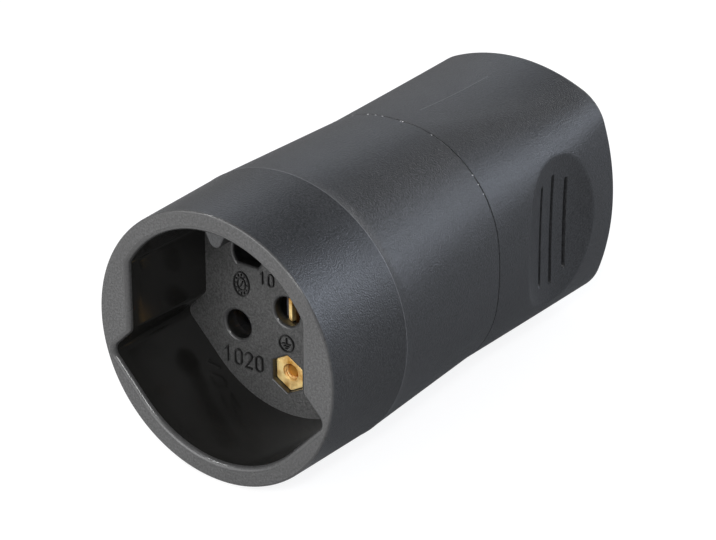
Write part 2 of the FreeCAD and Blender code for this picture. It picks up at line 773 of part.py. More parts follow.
def contact(name, x, z, turn):
    """A brass fork of two leaves, a flange that seats in the carrier and a pillar terminal behind."""
    body = new_body(name + "_contact")
    half_gap = fork_half_gap(name)
    tip = fork_front(name) - carrier_back
    nip = tip + s.leaf_nip
    bend = nip + s.leaf_bend
    root = -s.flange_thickness
    spread = s.grip_half_gap + s.leaf_spread
    for side in (-1, 1):
        leaf = new_sketch(body, f"{name}_leaf_{hand(side)}", role="XY_Plane")
        inner = [(spread, root), (spread, bend), (half_gap, nip), (half_gap + s.leaf_spread, tip)]
        outline = inner + [(px + s.leaf_thickness, py) for px, py in inner[::-1]]
        polygon(leaf, [(px * side, py) for px, py in outline])
        blade = feature(body, "Pad", leaf.Name + "_blade", leaf, Length=s.leaf_height)
        blade.SideType = "Symmetric"
        if side < 0:
            # the flange comes second, so that each blade joins a single solid
            seat = new_sketch(body, name + "_flange_outline", root)
            half = s.flange_size * 0.5
            polygon(seat, [(-half, -half), (half, -half), (half, half), (-half, half)])
            pad_back(body, name + "_flange", seat, s.flange_thickness)
    block = new_sketch(body, name + "_terminal_outline")
    half = s.terminal_size * 0.5
    polygon(block, [(-half, -half), (half, -half), (half, half), (-half, half)])
    pad_back(body, name + "_terminal", block, s.terminal_length)
    wire = new_sketch(body, name + "_wire_outline", s.retainer_thickness)
    circle(wire, s.wire_bore_radius)
    pocket_back(body, name + "_wire_bore", wire, s.terminal_length - s.retainer_thickness)
    tapped = cut(name + "_tapped", body, [terminal_hole(name, turn)])
    return place(tapped, x, carrier_back, z)


def terminal_hole(name, turn):
    """The screw's hole, from the pillar's face to the wire bore."""
    obj = bind(doc.addObject("Part::Cylinder", name + "_screw_hole"), Radius=tapped_radius,
               Height=s.terminal_size * 0.5)
    return place(obj, ZERO, (s.retainer_thickness + s.terminal_length) * 0.5, ZERO, turn)


def spring_clip(name, x, z):
    """A steel strip bent to a U round both leaves of a fork, in front of their nip."""
    body = new_body(name + "_spring_clip")
    inner = fork_half_gap(name) + s.leaf_spread + s.leaf_thickness + s.clip_clearance
    outer = inner + s.clip_thickness
    low = s.leaf_height * -0.5 - s.fit_clearance
    high = s.leaf_height * 0.5
    outline = new_sketch(body, name + "_clip_outline")
    polygon(outline, [(-outer, low - s.clip_thickness), (outer, low - s.clip_thickness), (outer, high),
                      (inner, high), (inner, low), (-inner, low), (-inner, high), (-outer, high)])
    pad_back(body, name + "_clip_strip", outline, s.clip_width)
    return place(body, x, fork_front(name) + s.leaf_nip - s.clip_width, z)


# carrier, retainer and cord clamp

def contact_carrier():
    block = rod("carrier_block", carrier_radius, floor_back, carrier_back)
    tools = [rod("carrier_post_hole", post_hole_radius, floor_back, carrier_back, z=-s.nut_drop)]
    for name, (x, z, _) in PIN_PLACES.items():
        seat = s.flange_size + s.fit_clearance * 2
        front = earth_chamber_front if name == "earth" else chamber_front
        tools += [
            rod(f"carrier_{name}_hole", s.pin_hole_radius + s.fit_clearance, floor_back, chamber_front,
                x, z),
            centred_box(f"carrier_{name}_chamber", x, z, chamber_half_width * 2, chamber_half_height * 2,
                        front, carrier_back),
            centred_box(f"carrier_{name}_seat", x, z, seat, seat, flange_front, carrier_back),
        ]
    for side in (-1, 1):
        x = boss_offset * side
        tools += [
            rod(f"carrier_boss_hole_{hand(side)}", s.boss_radius + s.fit_clearance, floor_back,
                floor_back + s.boss_length + s.fit_clearance, x, s.boss_height),
            rod(f"carrier_screw_hole_{hand(side)}", s.screw_bore_radius, floor_back, carrier_back,
                x, s.boss_height),
            rod(f"carrier_spare_hole_{hand(side)}", s.spare_hole_radius, floor_back,
                s.recess_depth + s.spare_hole_depth, s.spare_hole_offset * side, s.spare_hole_height),
        ]
    return cut("contact_carrier", block, tools)


def contact_retainer():
    clamp_front = s.clamp_depth - s.clamp_plate_length * 0.5
    clamp_back = s.clamp_depth + s.clamp_plate_length * 0.5
    tongue = (tongue_bottom, tongue_top)
    pieces = [
        rod("retainer_plate", retainer_radius, carrier_back, retainer_back),
        box("retainer_tongue", both_ways(s.tongue_half_width), (carrier_back, clamp_back), tongue),
        box("clamp_plate", both_ways(s.clamp_plate_half_width), (clamp_front, clamp_back), tongue),
    ]
    tools = [rod("retainer_post_hole", post_hole_radius, carrier_back, retainer_back, z=-s.nut_drop)]
    window = s.terminal_size + s.fit_clearance * 2
    for name, (x, z, _) in PIN_PLACES.items():
        tools.append(centred_box(f"retainer_{name}_window", x, z, window, window,
                                 carrier_back, retainer_back))
    for side in (-1, 1):
        tools.append(rod(f"retainer_screw_hole_{hand(side)}", s.screw_bore_radius, carrier_back,
                         retainer_back, boss_offset * side, s.boss_height))
        x = s.clamp_screw_offset * side
        pieces.append(pillar(f"clamp_boss_{hand(side)}", s.clamp_boss_radius, tongue_bottom, clamp_seat,
                             x, s.clamp_depth))
        tools.append(pillar(f"clamp_pilot_{hand(side)}", tapped_radius, tongue_bottom, clamp_seat,
                            x, s.clamp_depth))
    return cut("contact_retainer", fuse("retainer_blank", pieces), tools)


def cord_clamp_bar():
    """A bar across the cord, hollowed to a saddle on its lower side."""
    half = s.clamp_bar_width * 0.5
    top = clamp_seat + s.clamp_bar_thickness
    front, back = s.clamp_depth - half, s.clamp_depth + half
    bar = box("clamp_bar_blank", both_ways(s.clamp_plate_half_width), (front, back), (clamp_seat, top))
    tools = [rod("clamp_saddle", s.clamp_saddle_radius, front, back,
                 z=clamp_seat + s.clamp_saddle_depth - s.clamp_saddle_radius)]
    for side in (-1, 1):
        tools.append(pillar(f"clamp_bar_hole_{hand(side)}", s.screw_bore_radius, clamp_seat, top,
                            s.clamp_screw_offset * side, s.clamp_depth))
    return cut("cord_clamp_bar", bar, tools)


parts = {
    "front_housing": front_housing(),
    "rear_cap": rear_cap(),
    "hex_nut": hex_nut(),
    "contact_carrier": contact_carrier(),
    "contact_retainer": contact_retainer(),
    "cord_clamp_bar": cord_clamp_bar(),
    "assembly_washer": assembly_washer(),
    "assembly_screw": screw("assembly_screw", s.assembly_screw_length, ZERO,
                            screw_seat + s.washer_thickness, -s.nut_drop, ALONG_Y),
}
terminal_middle = carrier_back + (s.retainer_thickness + s.terminal_length) * 0.5
terminal_half = s.terminal_size * 0.5
TERMINAL_FACES = {
    "line": (-terminal_half, ZERO),
    "neutral": (terminal_half, ZERO),
    "earth": (ZERO, terminal_half),
}
for name, (x, z, turn) in PIN_PLACES.items():
    face_x, face_z = TERMINAL_FACES[name]
    parts[name + "_contact"] = contact(name, x, z, turn)
    parts[name + "_spring_clip"] = spring_clip(name, x, z)
    parts[name + "_terminal_screw"] = screw(name + "_terminal_screw", s.terminal_screw_length, x + face_x,
                                            terminal_middle, z + face_z, turn)
for side in (-1, 1):
    name = "carrier_screw_" + hand(side)
    parts[name] = screw(name, s.carrier_screw_length, boss_offset * side, retainer_back, s.boss_height,
                        ALONG_Y)
    name = "cord_clamp_screw_" + hand(side)
    parts[name] = screw(name, s.clamp_screw_length, s.clamp_screw_offset * side, s.clamp_depth,
                        clamp_seat + s.clamp_bar_thickness, UPRIGHT)

doc.recompute()
failed = [obj.Name for obj in doc.Objects if "Invalid" in obj.State or "Error" in obj.State]
if failed:
    raise RuntimeError("failed objects: " + ", ".join(failed))
for name, obj in parts.items():
    obj.Label = name
    if obj.Shape.isNull() or not obj.Shape.isValid() or len(obj.Shape.Solids) != 1:
        raise RuntimeError(f"{name}: {len(obj.Shape.Solids)} solids, valid {obj.Shape.isValid()}")

os.makedirs("parts", exist_ok=True)
for name, obj in parts.items():
    obj.Shape.exportStep(f"parts/{name}.step")
    print(f"{name}: {obj.Shape.Volume:.1f} mm3")
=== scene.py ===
"""Looks of the inline socket connector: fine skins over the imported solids, materials, light and camera.

Lengths are millimetres in the frame of the CAD model, unless a comment says otherwise, and MM turns them into
metres. Y runs from the socket's mouth to the rear end, and outlines lie in the X-Z plane.
"""
import json
import math

import bmesh
import bpy
import numpy as np
from mathutils import Matrix, Vector
from mathutils.geometry import tessellate_polygon


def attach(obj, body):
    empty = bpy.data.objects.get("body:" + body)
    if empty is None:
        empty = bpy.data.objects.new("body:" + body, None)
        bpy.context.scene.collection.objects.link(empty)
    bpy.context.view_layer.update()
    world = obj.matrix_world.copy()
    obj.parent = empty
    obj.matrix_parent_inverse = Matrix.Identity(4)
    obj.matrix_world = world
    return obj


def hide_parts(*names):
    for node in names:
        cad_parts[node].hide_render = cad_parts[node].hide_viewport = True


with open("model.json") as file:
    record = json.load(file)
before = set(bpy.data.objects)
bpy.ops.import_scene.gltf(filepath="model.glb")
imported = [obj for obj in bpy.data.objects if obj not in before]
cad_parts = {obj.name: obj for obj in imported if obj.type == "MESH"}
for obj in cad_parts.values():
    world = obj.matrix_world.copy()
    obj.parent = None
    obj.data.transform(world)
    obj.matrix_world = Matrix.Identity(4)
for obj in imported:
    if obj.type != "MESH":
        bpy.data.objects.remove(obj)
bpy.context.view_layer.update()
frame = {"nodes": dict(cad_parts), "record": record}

MM = 0.001
TAU = 2 * math.pi
QUARTER = math.pi / 2

# collar, sleeve, seam and lap
MOUTH_R, MOUTH_EDGE = 22.0, 0.35
PARTING_R, PARTING_Y = 22.35, 17.7
SEAM_Y, CAP_Y = 45.8, 45.95
LAP_INSET, LAP_CLEARANCE, LAP_LENGTH = 1.2, 0.1, 4.0
WALL = 2.4
# keyed recess and its floor
RECESS_R, RECESS_DEPTH, RECESS_LEAN = 18.85, 17.5, 0.55
FLAT_X, FLAT_DROP = 16.25, 2.0
SHOULDER_X, SHOULDER_DROP = 20.2, 6.0
RECESS_CORNER, MOUTH_LEAD = 1.5, 0.8
KEY_R, KEY_TIP, KEY_ROOT, KEY_EDGE = 1.2, 16.45, 2.3, 0.3
FLOOR_BACK = 19.3
PIN_R, HOLE_ROUND = 2.4, 0.45
PINS = ((-9.5, -5.8), (9.5, -5.8), (0.0, -0.8))
SPARE_X, SPARE_Z, SPARE_R, SPARE_FLAT, SPARE_CORNER = 7.55, 6.9, 2.75, 1.98, 0.35
# nut, assembly screw, posts and bosses
NUT_Z, NUT_FLATS, NUT_FRONT, NUT_BACK = -11.5, 5.5, 18.4, 20.8
POCKET_FLATS, POCKET_CORNER, POCKET_ROUND = 5.7, 0.2, 0.22
POST_R, SCREW_BORE_R = 4.0, 1.7
BOSS_X, BOSS_Z, BOSS_R, BOSS_END = 13.0, 3.0, 2.6, 24.3
PILOT_R, PILOT_FRONT = 1.28, 18.8
HEAD_BORE_R, HEAD_ROUND, HEAD_POST_R, HEAD_POST_Y, SCREW_SEAT = 3.3, 0.3, 4.8, 65.4, 68.4
# handle: its outlines are half width, half height, side, crown and corner radius
SEAM = np.array([19.8, 21.2, 45.0, 47.0, 18.2])
WAIST = np.array([19.6, 20.1, 42.5, 38.5, 13.0])
END = np.array([19.0, 20.5, 40.0, 30.5, 8.0])
WAIST_Y, LENGTH, END_EDGE, END_WALL = 63.0, 80.5, 0.8, 3.0
INLET_R, INLET_LEAD, INLET_FRONT, INLET_COLLAR_R = 4.5, 0.9, 74.5, 6.1
SCOOP_Y, SCOOP_FLOOR_X, SCOOP_R, SCOOP_BOW, SCOOP_BLEND = 64.4, 17.0, 20.0, 300.0, 0.14
GROOVE_PITCH, GROOVE_HALF, GROOVE_DEPTH = 3.47, 0.325, 0.7
GROOVE_HALF_LENGTHS = {-1: 8.7, 0: 9.55, 1: 7.9}
# a groove's wall slopes between these distances from its outline
GROOVE_INSIDE, GROOVE_OUTSIDE = -0.1, 0.09

# EDGE is a narrow strip beside a rounded edge, which keeps the shading of the flat next to it flat
EDGE = 0.06
SEAM_ROUND = 0.09
# the moulding's parting ring round the collar, and its line along the handle's top and bottom
RING_FOOT, RING_DIP, RING_HALF, RING_RISE = 0.16, 0.01, 0.05, 0.035
LINE_RISE, LINE_SPREAD, LINE_HALF, LINE_DROP = 0.03, 0.09, 0.04, 1.0
LINE_FADE_IN, LINE_FADE_OUT = (50.5, 53.0), (66.0, 74.0)
LINE_START, LINE_END = 52.0, 71.0
# raised specks along the seam, painted pale as painted glints; their lift swings about its mean from the
# bottom to the top
SPECK_SEED, SPECK_RARE, SPECK_LIFT, SPECK_LEAST, SPECK_LENGTH = 5, 0.72, 0.4, 0.08, 0.25
SPECK_MEAN, SPECK_SWING = 0.55, 0.45

# rows and columns of the skins
ANGLES = np.linspace(0, TAU, 720, endpoint=False)
SIDE_TOP = 16.8
SIDE_ROWS = np.linspace(-SIDE_TOP, SIDE_TOP, 113)
LINE_STEPS = np.array([0.0016, 0.0032, 0.006, 0.012])
CROWN_STEPS = np.unique(np.concatenate([
    np.linspace(0, 1, 74)[1:-1], 0.5 - LINE_STEPS, [0.5], 0.5 + LINE_STEPS]))
FRONT_ROWS_END, SCOOP_ROWS_START, SCOOP_ROWS_END, REAR_ROWS_START = 52.6, 52.8, 76.4, 76.5
SCOOP_ROW, LEAST_ROW = 0.25, 0.02
GROOVE_STEPS = np.array([0.1, 0.21, 0.25, 0.29, 0.33, 0.37, 0.41, 0.45])


# outlines

def polar(points, angles):
    """The distance from the centre to a closed outline, at the given angles."""
    turn = np.arctan2(points[:, 1], points[:, 0]) % TAU
    order = np.argsort(turn)
    return np.interp(angles, turn[order], np.hypot(points[order, 0], points[order, 1]), period=TAU)


def around(angles, radii):
    """Points at the given angles and distances from the centre."""
    return np.stack([radii * np.cos(angles), radii * np.sin(angles)], 1)


def arc(centre, radius, start, end, count=60):
    """Points of an arc between two angles."""
    turn = np.linspace(start, end, count)
    return np.stack([centre[0] + radius * np.cos(turn), centre[1] + radius * np.sin(turn)], 1)


def circle(x, z, radius, count=96):
    """Points of a full circle."""
    turn = np.linspace(0, TAU, count, endpoint=False)
    return np.stack([x + radius * np.cos(turn), z + radius * np.sin(turn)], 1)


def fillet(before, corner, after, radius, count=40):
    """The arc that rounds a corner between two straight walls."""
    ahead = (corner - before) / np.linalg.norm(corner - before)
    onward = (after - corner) / np.linalg.norm(after - corner)
    turn = math.atan2(ahead[0] * onward[1] - ahead[1] * onward[0], ahead @ onward)
    start = corner - ahead * radius * math.tan(abs(turn) / 2)
    to_start = np.array([ahead[1], -ahead[0]]) * math.copysign(1, turn)
    first = math.atan2(to_start[1], to_start[0])
    return arc(start - to_start * radius, radius, first, first + turn, count)


def dense(points, step=0.05):
    """The same line of points with none farther apart than the step."""
    pieces = [np.linspace(a, b, max(int(np.linalg.norm(b - a) / step), 1), endpoint=False)
              for a, b in zip(points[:-1], points[1:])]
    return np.concatenate(pieces + [points[-1:]])


def spread(outline, distance):
    """A closed counter-clockwise outline moved outwards."""
    ahead, behind = np.roll(outline, -1, 0), np.roll(outline, 1, 0)
    run = ahead - behind
    run /= np.linalg.norm(run, axis=1)[:, None]
    return outline + np.stack([run[:, 1], -run[:, 0]], 1) * distance


def recess_outline(lean):
    """The socket's outline with its rounded corners, counter-clockwise."""
    ring, flat, r = RECESS_R - lean, FLAT_X - lean, RECESS_CORNER
    shoulder, knee = np.array([SHOULDER_X - lean, -SHOULDER_DROP]), np.array([flat, -FLAT_DROP])
    # the lower line leaves the round where a line from the shoulder is tangent to it
    low = math.atan2(SHOULDER_DROP, shoulder[0]) + math.acos(ring / np.linalg.norm(shoulder))
    touch = ring * np.array([math.cos(low), -math.sin(low)])
    top = np.array([flat - r, math.sqrt((ring - r) ** 2 - (flat - r) ** 2)])
    top_turn = math.atan2(top[1], top[0])
    # right half, from the bottom up, without points that coincide
    right = dense(np.concatenate([
        arc((0, 0), ring, -QUARTER, -low, 300),
        fillet(touch, shoulder, knee, r),
        fillet(shoulder, knee, knee + (0, 1), r),
        arc(top, r, 0, top_turn, 40),
        arc((0, 0), ring, top_turn, QUARTER, 300),
    ]))
    apart = np.linalg.norm(np.diff(right, axis=0), axis=1) > 1e-6
    right = right[np.concatenate([[True], apart])]
    left = (right * (-1, 1))[-2:0:-1]
    return np.concatenate([right, left])


def spare_hole(side, grow=0.0):
    """A round hole with a flat below, its two corners rounded."""
    radius, flat, corner = SPARE_R + grow, SPARE_FLAT + grow, SPARE_CORNER + grow
    down = flat - corner
    across = math.sqrt((radius - corner) ** 2 - down ** 2)
    dip = math.atan2(down, across)
    points = np.concatenate([
        arc((0, 0), radius, -dip, math.pi + dip, 70),
        arc((-across, -down), corner, math.pi + dip, 3 * QUARTER, 10)[1:],
        arc((across, -down), corner, -QUARTER, -dip, 10)[:-1],
    ])
    return points + (SPARE_X * side, SPARE_Z)


def nut_pocket(grow=0.0):
    """A hexagon with a point up and rounded corners."""
    flats, corner = POCKET_FLATS + 2 * grow, POCKET_CORNER + grow
    reach = (flats / 2 - corner) / math.cos(TAU / 12)
    points = []
    for k in range(6):
        middle = QUARTER + k * TAU / 6
        centre = (reach * math.cos(middle), NUT_Z + reach * math.sin(middle))
        points.append(arc(centre, corner, middle - TAU / 12, middle + TAU / 12, 8))
    return np.concatenate(points)


def pillow_corner(form):
    """The centre and the end angles of the corner arc, tangent to the side arc and to the crown arc."""
    half_width, half_height, side, crown, corner = form
    side_x, crown_z = half_width - side, half_height - crown
    from_side, from_crown = side - corner, crown - corner
    span = math.hypot(side_x, crown_z)
    along = (from_crown ** 2 - from_side ** 2 + span ** 2) / (2 * span)
    across = math.sqrt(from_crown ** 2 - along ** 2)
    x = (along * side_x - across * crown_z) / span
    z = crown_z + (-along * crown_z - across * side_x) / span
    return x, z, math.atan2(z, x - side_x), math.atan2(z - crown_z, x)


def pillow_outline(form):
    """A crowned rounded rectangle of tangent arcs, counter-clockwise."""
    half_width, half_height, side, crown, corner = form
    x, z, low, high = pillow_corner(form)
    first = np.concatenate([
        arc((half_width - side, 0), side, 0, low),
        arc((x, z), corner, low, high, 120)[1:],
        arc((0, half_height - crown), crown, high, QUARTER)[1:],
    ])
    upper = np.concatenate([first, (first * (-1, 1))[-2::-1]])
    return np.concatenate([upper, -upper[1:-1]])


def pillow_side(form, z):
    """Half the width of the outline at the heights z."""
    half_width, half_height, side, crown, corner = form
    corner_x, corner_z, low, high = pillow_corner(form)
    z = np.abs(z)
    on_side = half_width - side + np.sqrt(side ** 2 - z ** 2)
    on_corner = corner_x + np.sqrt(np.maximum(corner ** 2 - (z - corner_z) ** 2, 0))
    on_crown = np.sqrt(np.maximum(crown ** 2 - (z - half_height + crown) ** 2, 0))
    return np.where(z < side * math.sin(low), on_side,
                    np.where(z < corner_z + corner * math.sin(high), on_corner, on_crown))


def handle_form(y):
    """The handle's outline at a depth: a parabola through its front, waist and end."""
    a, b, c = CAP_Y, WAIST_Y, LENGTH - END_EDGE
    return (SEAM * (y - b) * (y - c) / ((a - b) * (a - c))
            + WAIST * (y - a) * (y - c) / ((b - a) * (b - c))
            + END * (y - a) * (y - b) / ((c - a) * (c - b)))


# meshes

class Skin:
    """Rings of points that are bridged and capped into one closed mesh."""

    def __init__(self):
        self.points = []
        self.faces = []
        self.slots = []

    def ring(self, outline, y):
        """Adds an outline at a depth and returns the numbers of its points."""
        first = len(self.points)
        self.points.extend((x, y, z) for x, z in outline)
        return list(range(first, len(self.points)))

    def face(self, corners, slot=0):
        """Adds one face with its material slot."""
        self.faces.append(tuple(corners))
        self.slots.append(slot)

    def bridge(self, one, other, slot=0, closed=True):
        """Joins two rings, or two open rows, of equally many points."""
        count = len(one)
        for i in range(count if closed else count - 1):
            j = (i + 1) % count
            self.face((one[i], one[j], other[j], other[i]), slot)

    def run(self, start, steps, slot=0):
        """Bridges from a ring through (outline, depth) steps and returns the last ring."""
        for outline, y in steps:
            ring = self.ring(outline, y)
            self.bridge(start, ring, slot)
            start = ring
        return start

    def cap(self, outer, holes=(), slot=0):
        """Fills a flat ring, leaving out the rings of its holes."""
        rings = [outer, *holes]
        flat = [[Vector((self.points[i][0], self.points[i][2], 0)) for i in ring] for ring in rings]
        index = [i for ring in rings for i in ring]
        for triangle in tessellate_polygon(flat):
            self.face((index[k] for k in triangle), slot)

    def piece(self, name, materials, record_slot, sharp=32):
        """Makes the object, which rides on the root; edges that bend by more than sharp degrees stay hard."""
        mesh = bpy.data.meshes.new(name)
        mesh.from_pydata([tuple(c * MM for c in p) for p in self.points], [], self.faces)
        mesh.polygons.foreach_set("material_index", self.slots)
        for material in materials:
            mesh.materials.append(material)
        bm = bmesh.new()
        bm.from_mesh(mesh)
        bmesh.ops.recalc_face_normals(bm, faces=bm.faces)
        bm.to_mesh(mesh)
        bm.free()
        mesh.shade_smooth()
        mesh.set_sharp_from_angle(angle=math.radians(sharp))
        piece = bpy.data.objects.new(name, mesh)
        bpy.context.scene.collection.objects.link(piece)
        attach(piece, "root")
        return piece


def rounding(radius, steps, start=1):
    """Steps of a quarter round: how far it has sunk and has run; start 0 gives its first point too."""
    for turn in np.linspace(0, QUARTER, steps + 1)[start:]:
        yield radius * (1 - math.cos(turn)), radius * math.sin(turn)


def round_hole(skin, shape, radius, front, back, rim_slot=0, wall_slot=0):
    """Lines a hole from a flat face: a support ring, a rounded rim and a straight wall.

    shape(grow) gives the outline; returns the ring in the flat face and the ring at the far end.
    """
    way = 1 if back > front else -1
    face = skin.ring(shape(radius + EDGE), front)
    steps = [(shape(radius), front)]
    steps += [(shape(radius - run), front + way * sunk) for sunk, run in rounding(radius, 6)]
    wall = skin.run(face, steps, rim_slot)
    return face, skin.run(wall, [(shape(0.0), back)], wall_slot)


def smooth_min(a, b, blend):
    """The smaller of two values, with a rounded change from one to the other."""
    share = np.clip(0.5 + 0.5 * (b - a) / blend, 0, 1)
    return b + (a - b) * share - blend * share * (1 - share)


def smooth_step(low, high, value):
    """A share that eases from 0 at low to 1 at high."""
    share = np.clip((value - low) / (high - low), 0, 1)
    return share * share * (3 - 2 * share)


# front half: the material slots of its skin, then its surfaces from the recess outwards

SHELL, RECESS, FLOOR, RIM, LIP, FLASH_HIGHLIGHT, HOLE, SPECK = range(8)


def polar_ring(outline):
    """An outline with its points at the skin's angles."""
    return around(ANGLES, polar(outline, ANGLES))


def full_ring(radius):
    """A circle with its points at the skin's angles."""
    return around(ANGLES, np.full(len(ANGLES), radius))


def front_recess(skin):
    """Floor edge, leaning wall and rounded mouth; returns the floor's edge and the ring at the rim."""
    floor_edge = skin.ring(polar_ring(spread(recess_outline(RECESS_LEAN), -EDGE)), RECESS_DEPTH)
    wall = [(polar_ring(recess_outline(RECESS_LEAN * y / RECESS_DEPTH)), y)
            for y in np.linspace(RECESS_DEPTH, MOUTH_LEAD, 8)]
    ring = skin.run(floor_edge, wall[:1], FLOOR)
    ring = skin.run(ring, wall[1:], RECESS)
    mouth = recess_outline(0.0)
    lead = [(polar_ring(spread(mouth, sunk)), MOUTH_LEAD - run) for sunk, run in rounding(MOUTH_LEAD, 9)]
    ring = skin.run(ring, lead, LIP)
    return floor_edge, skin.run(ring, [(polar_ring(spread(mouth, MOUTH_LEAD + EDGE)), 0.0)], RIM)


def front_collar(skin, ring):
    """Rim, its outer edge, the collar and the parting ring; returns the ring behind it."""
    flat = MOUTH_R - MOUTH_EDGE
    ring = skin.run(ring, [(full_ring(flat - EDGE), 0.0), (full_ring(flat), 0.0)], RIM)
    edge = [(full_ring(flat + run), sunk) for sunk, run in rounding(MOUTH_EDGE, 6)]
    ring = skin.run(ring, edge, LIP)
    top = full_ring(PARTING_R + RING_RISE)
    foot = (full_ring(PARTING_R - RING_DIP), PARTING_Y - RING_FOOT)
    ring = skin.run(ring, [foot, (top, PARTING_Y - RING_HALF)], SHELL)
    # the parting ring's top takes the light flash plastic, a painted highlight
    return skin.run(ring, [(top, PARTING_Y + RING_HALF)], FLASH_HIGHLIGHT)


def front_sleeve(skin, ring):
    """Sleeve with its specked seam, pale as painted glints, lap and the hollow behind the floor; returns the
    hollow's front edge.
    """
    seam = polar(pillow_outline(SEAM), ANGLES)
    # raised specks, painted pale as painted glints, stand out at chance places of the seam's edge, most of
    # them at the top
    chance = np.random.default_rng(SPECK_SEED).random(len(ANGLES))
    specks = np.clip(chance - SPECK_RARE, 0, 1) * SPECK_LIFT * (SPECK_MEAN + SPECK_SWING * np.sin(ANGLES))
    speck_y = SEAM_Y - SPECK_LENGTH

    def sleeve(y, inset=0.0):
        share = (y - PARTING_Y) / (SEAM_Y - PARTING_Y)
        return around(ANGLES, PARTING_R + (seam - PARTING_R) * share - inset)

    def seam_ring(inset):
        return polar_ring(pillow_outline(SEAM - inset))

    rows = [*np.linspace(PARTING_Y + RING_FOOT, speck_y - EDGE, 16), speck_y, SEAM_Y - SEAM_ROUND]
    steps = [(sleeve(y), y) for y in rows]
    steps += [(sleeve(SEAM_Y, sunk - specks), SEAM_Y - SEAM_ROUND + run)
              for sunk, run in rounding(SEAM_ROUND, 4)]
    lap_end = SEAM_Y + LAP_LENGTH
    steps += [(seam_ring(LAP_INSET), SEAM_Y), (seam_ring(LAP_INSET), lap_end), (seam_ring(WALL), lap_end),
              (seam_ring(WALL), SEAM_Y), (full_ring(PARTING_R - WALL), FLOOR_BACK)]
    hollow = skin.run(ring, steps, SHELL)
    for k, corners in enumerate(skin.faces):
        at_seam = speck_y - EDGE / 2 < skin.points[corners[0]][1] < SEAM_Y - EDGE / 20
        if at_seam and specks[corners[0] % len(ANGLES)] > SPECK_LEAST:
            skin.slots[k] = SPECK
    return hollow


def floor_holes(skin):
    """Pin and spare holes, nut pocket, screw post and bosses; returns their front and their back rings."""
    shapes = [lambda grow, x=x, z=z: circle(x, z, PIN_R + grow) for x, z in PINS]
    shapes += [lambda grow, side=side: spare_hole(side, grow) for side in (-1, 1)]
    fronts, backs = [], []
    for shape in shapes:
        # the HOLE slot takes the near-black marks plastic: painted shade on the holes' walls and the pocket's
        # back
        face, end = round_hole(skin, shape, HOLE_ROUND, RECESS_DEPTH, FLOOR_BACK, LIP, HOLE)
        fronts.append(face)
        backs.append(end)
    face, pocket = round_hole(skin, nut_pocket, POCKET_ROUND, RECESS_DEPTH, NUT_BACK, LIP, HOLE)
    fronts.append(face)
    inside, outside = circle(0, NUT_Z, SCREW_BORE_R), circle(0, NUT_Z, POST_R)
    bore = skin.ring(inside, NUT_BACK)
    skin.cap(pocket, [bore], HOLE)
    backs.append(skin.run(bore, [(inside, SEAM_Y), (outside, SEAM_Y), (outside, FLOOR_BACK)], SHELL))
    for side in (-1, 1):
        inside, outside = circle(BOSS_X * side, BOSS_Z, PILOT_R), circle(BOSS_X * side, BOSS_Z, BOSS_R)
        pilot = skin.ring(inside, PILOT_FRONT)
        skin.cap(pilot, slot=SHELL)
        backs.append(skin.run(pilot, [(inside, BOSS_END), (outside, BOSS_END), (outside, FLOOR_BACK)], SHELL))
    return fronts, backs


def front_skin(materials):
    """Collar, keyed recess with its floor and holes, sleeve, lap and the hollow behind the floor."""
    skin = Skin()
    floor_edge, mouth = front_recess(skin)
    hollow = front_sleeve(skin, front_collar(skin, mouth))
    fronts, backs = floor_holes(skin)
    skin.cap(floor_edge, fronts, FLOOR)
    skin.cap(hollow, backs, SHELL)
    piece = skin.piece("front_housing_skin", materials, "housing_plastic")
    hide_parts("front_housing")


def key_rib(material):
    """The key behind the mouth's lead-in: sides that close in on a round nose, rooted in collar and floor."""
    skin = Skin()
    root = RECESS_R + MOUTH_LEAD
    centre = KEY_TIP + KEY_R
    rise = root - centre
    dip = math.acos(KEY_R / math.hypot(KEY_ROOT, rise)) - math.atan2(rise, KEY_ROOT)
    floor_root = 0.2

    def outline(inset):
        nose = arc((0, centre), KEY_R - inset, math.pi + dip, TAU - dip, 40)
        return np.concatenate([nose, [(KEY_ROOT - inset, root - inset), (inset - KEY_ROOT, root - inset)]])

    face = skin.ring(outline(KEY_EDGE + EDGE), MOUTH_LEAD)
    skin.cap(face)
    steps = [(outline(KEY_EDGE - run), MOUTH_LEAD + sunk) for sunk, run in rounding(KEY_EDGE, 6, start=0)]
    skin.cap(skin.run(face, steps + [(outline(0.0), RECESS_DEPTH + floor_root)]))
    skin.piece("key_rib", [material], "housing_plastic")


# rear half: the material slots of its skin, then its surfaces from the outside inwards

HANDLE, LINE = range(2)


def scoop_side(y, z, grow=0.0):
    """Half the width at which the scoop's barrel cuts the handle, or a width beyond the handle."""
    no_cut = 99.0
    bow = SCOOP_BOW + grow
    barrel = SCOOP_R - SCOOP_BOW + np.sqrt(bow ** 2 - z ** 2)
    depth = barrel ** 2 - (y - SCOOP_Y) ** 2
    return np.where(depth > 0, SCOOP_FLOOR_X + SCOOP_R - np.sqrt(np.maximum(depth, 0)), no_cut)


def groove_depth(y, z):
    """How far the three grip grooves sink below the scoop's floor."""
    depth = np.zeros_like(z)
    for step, half_length in GROOVE_HALF_LENGTHS.items():
        beyond = np.maximum(np.abs(z) - half_length + GROOVE_HALF, 0)
        away = np.hypot(y - SCOOP_Y - GROOVE_PITCH * step, beyond) - GROOVE_HALF
        depth = np.maximum(depth, GROOVE_DEPTH * (1 - smooth_step(GROOVE_INSIDE, GROOVE_OUTSIDE, away)))
    return depth


def plain_ring(form):
    """The handle's outline without scoops: rows of equal height at the sides, equal turns over the crowns."""
    side = pillow_side(form, SIDE_ROWS)
    turn = math.atan2(SIDE_TOP, side[-1])
    angles = turn + (math.pi - 2 * turn) * CROWN_STEPS
    right = np.stack([side, SIDE_ROWS], 1)
    crown = around(angles, polar(pillow_outline(form), angles))
    return np.concatenate([right, crown, -right, -crown])


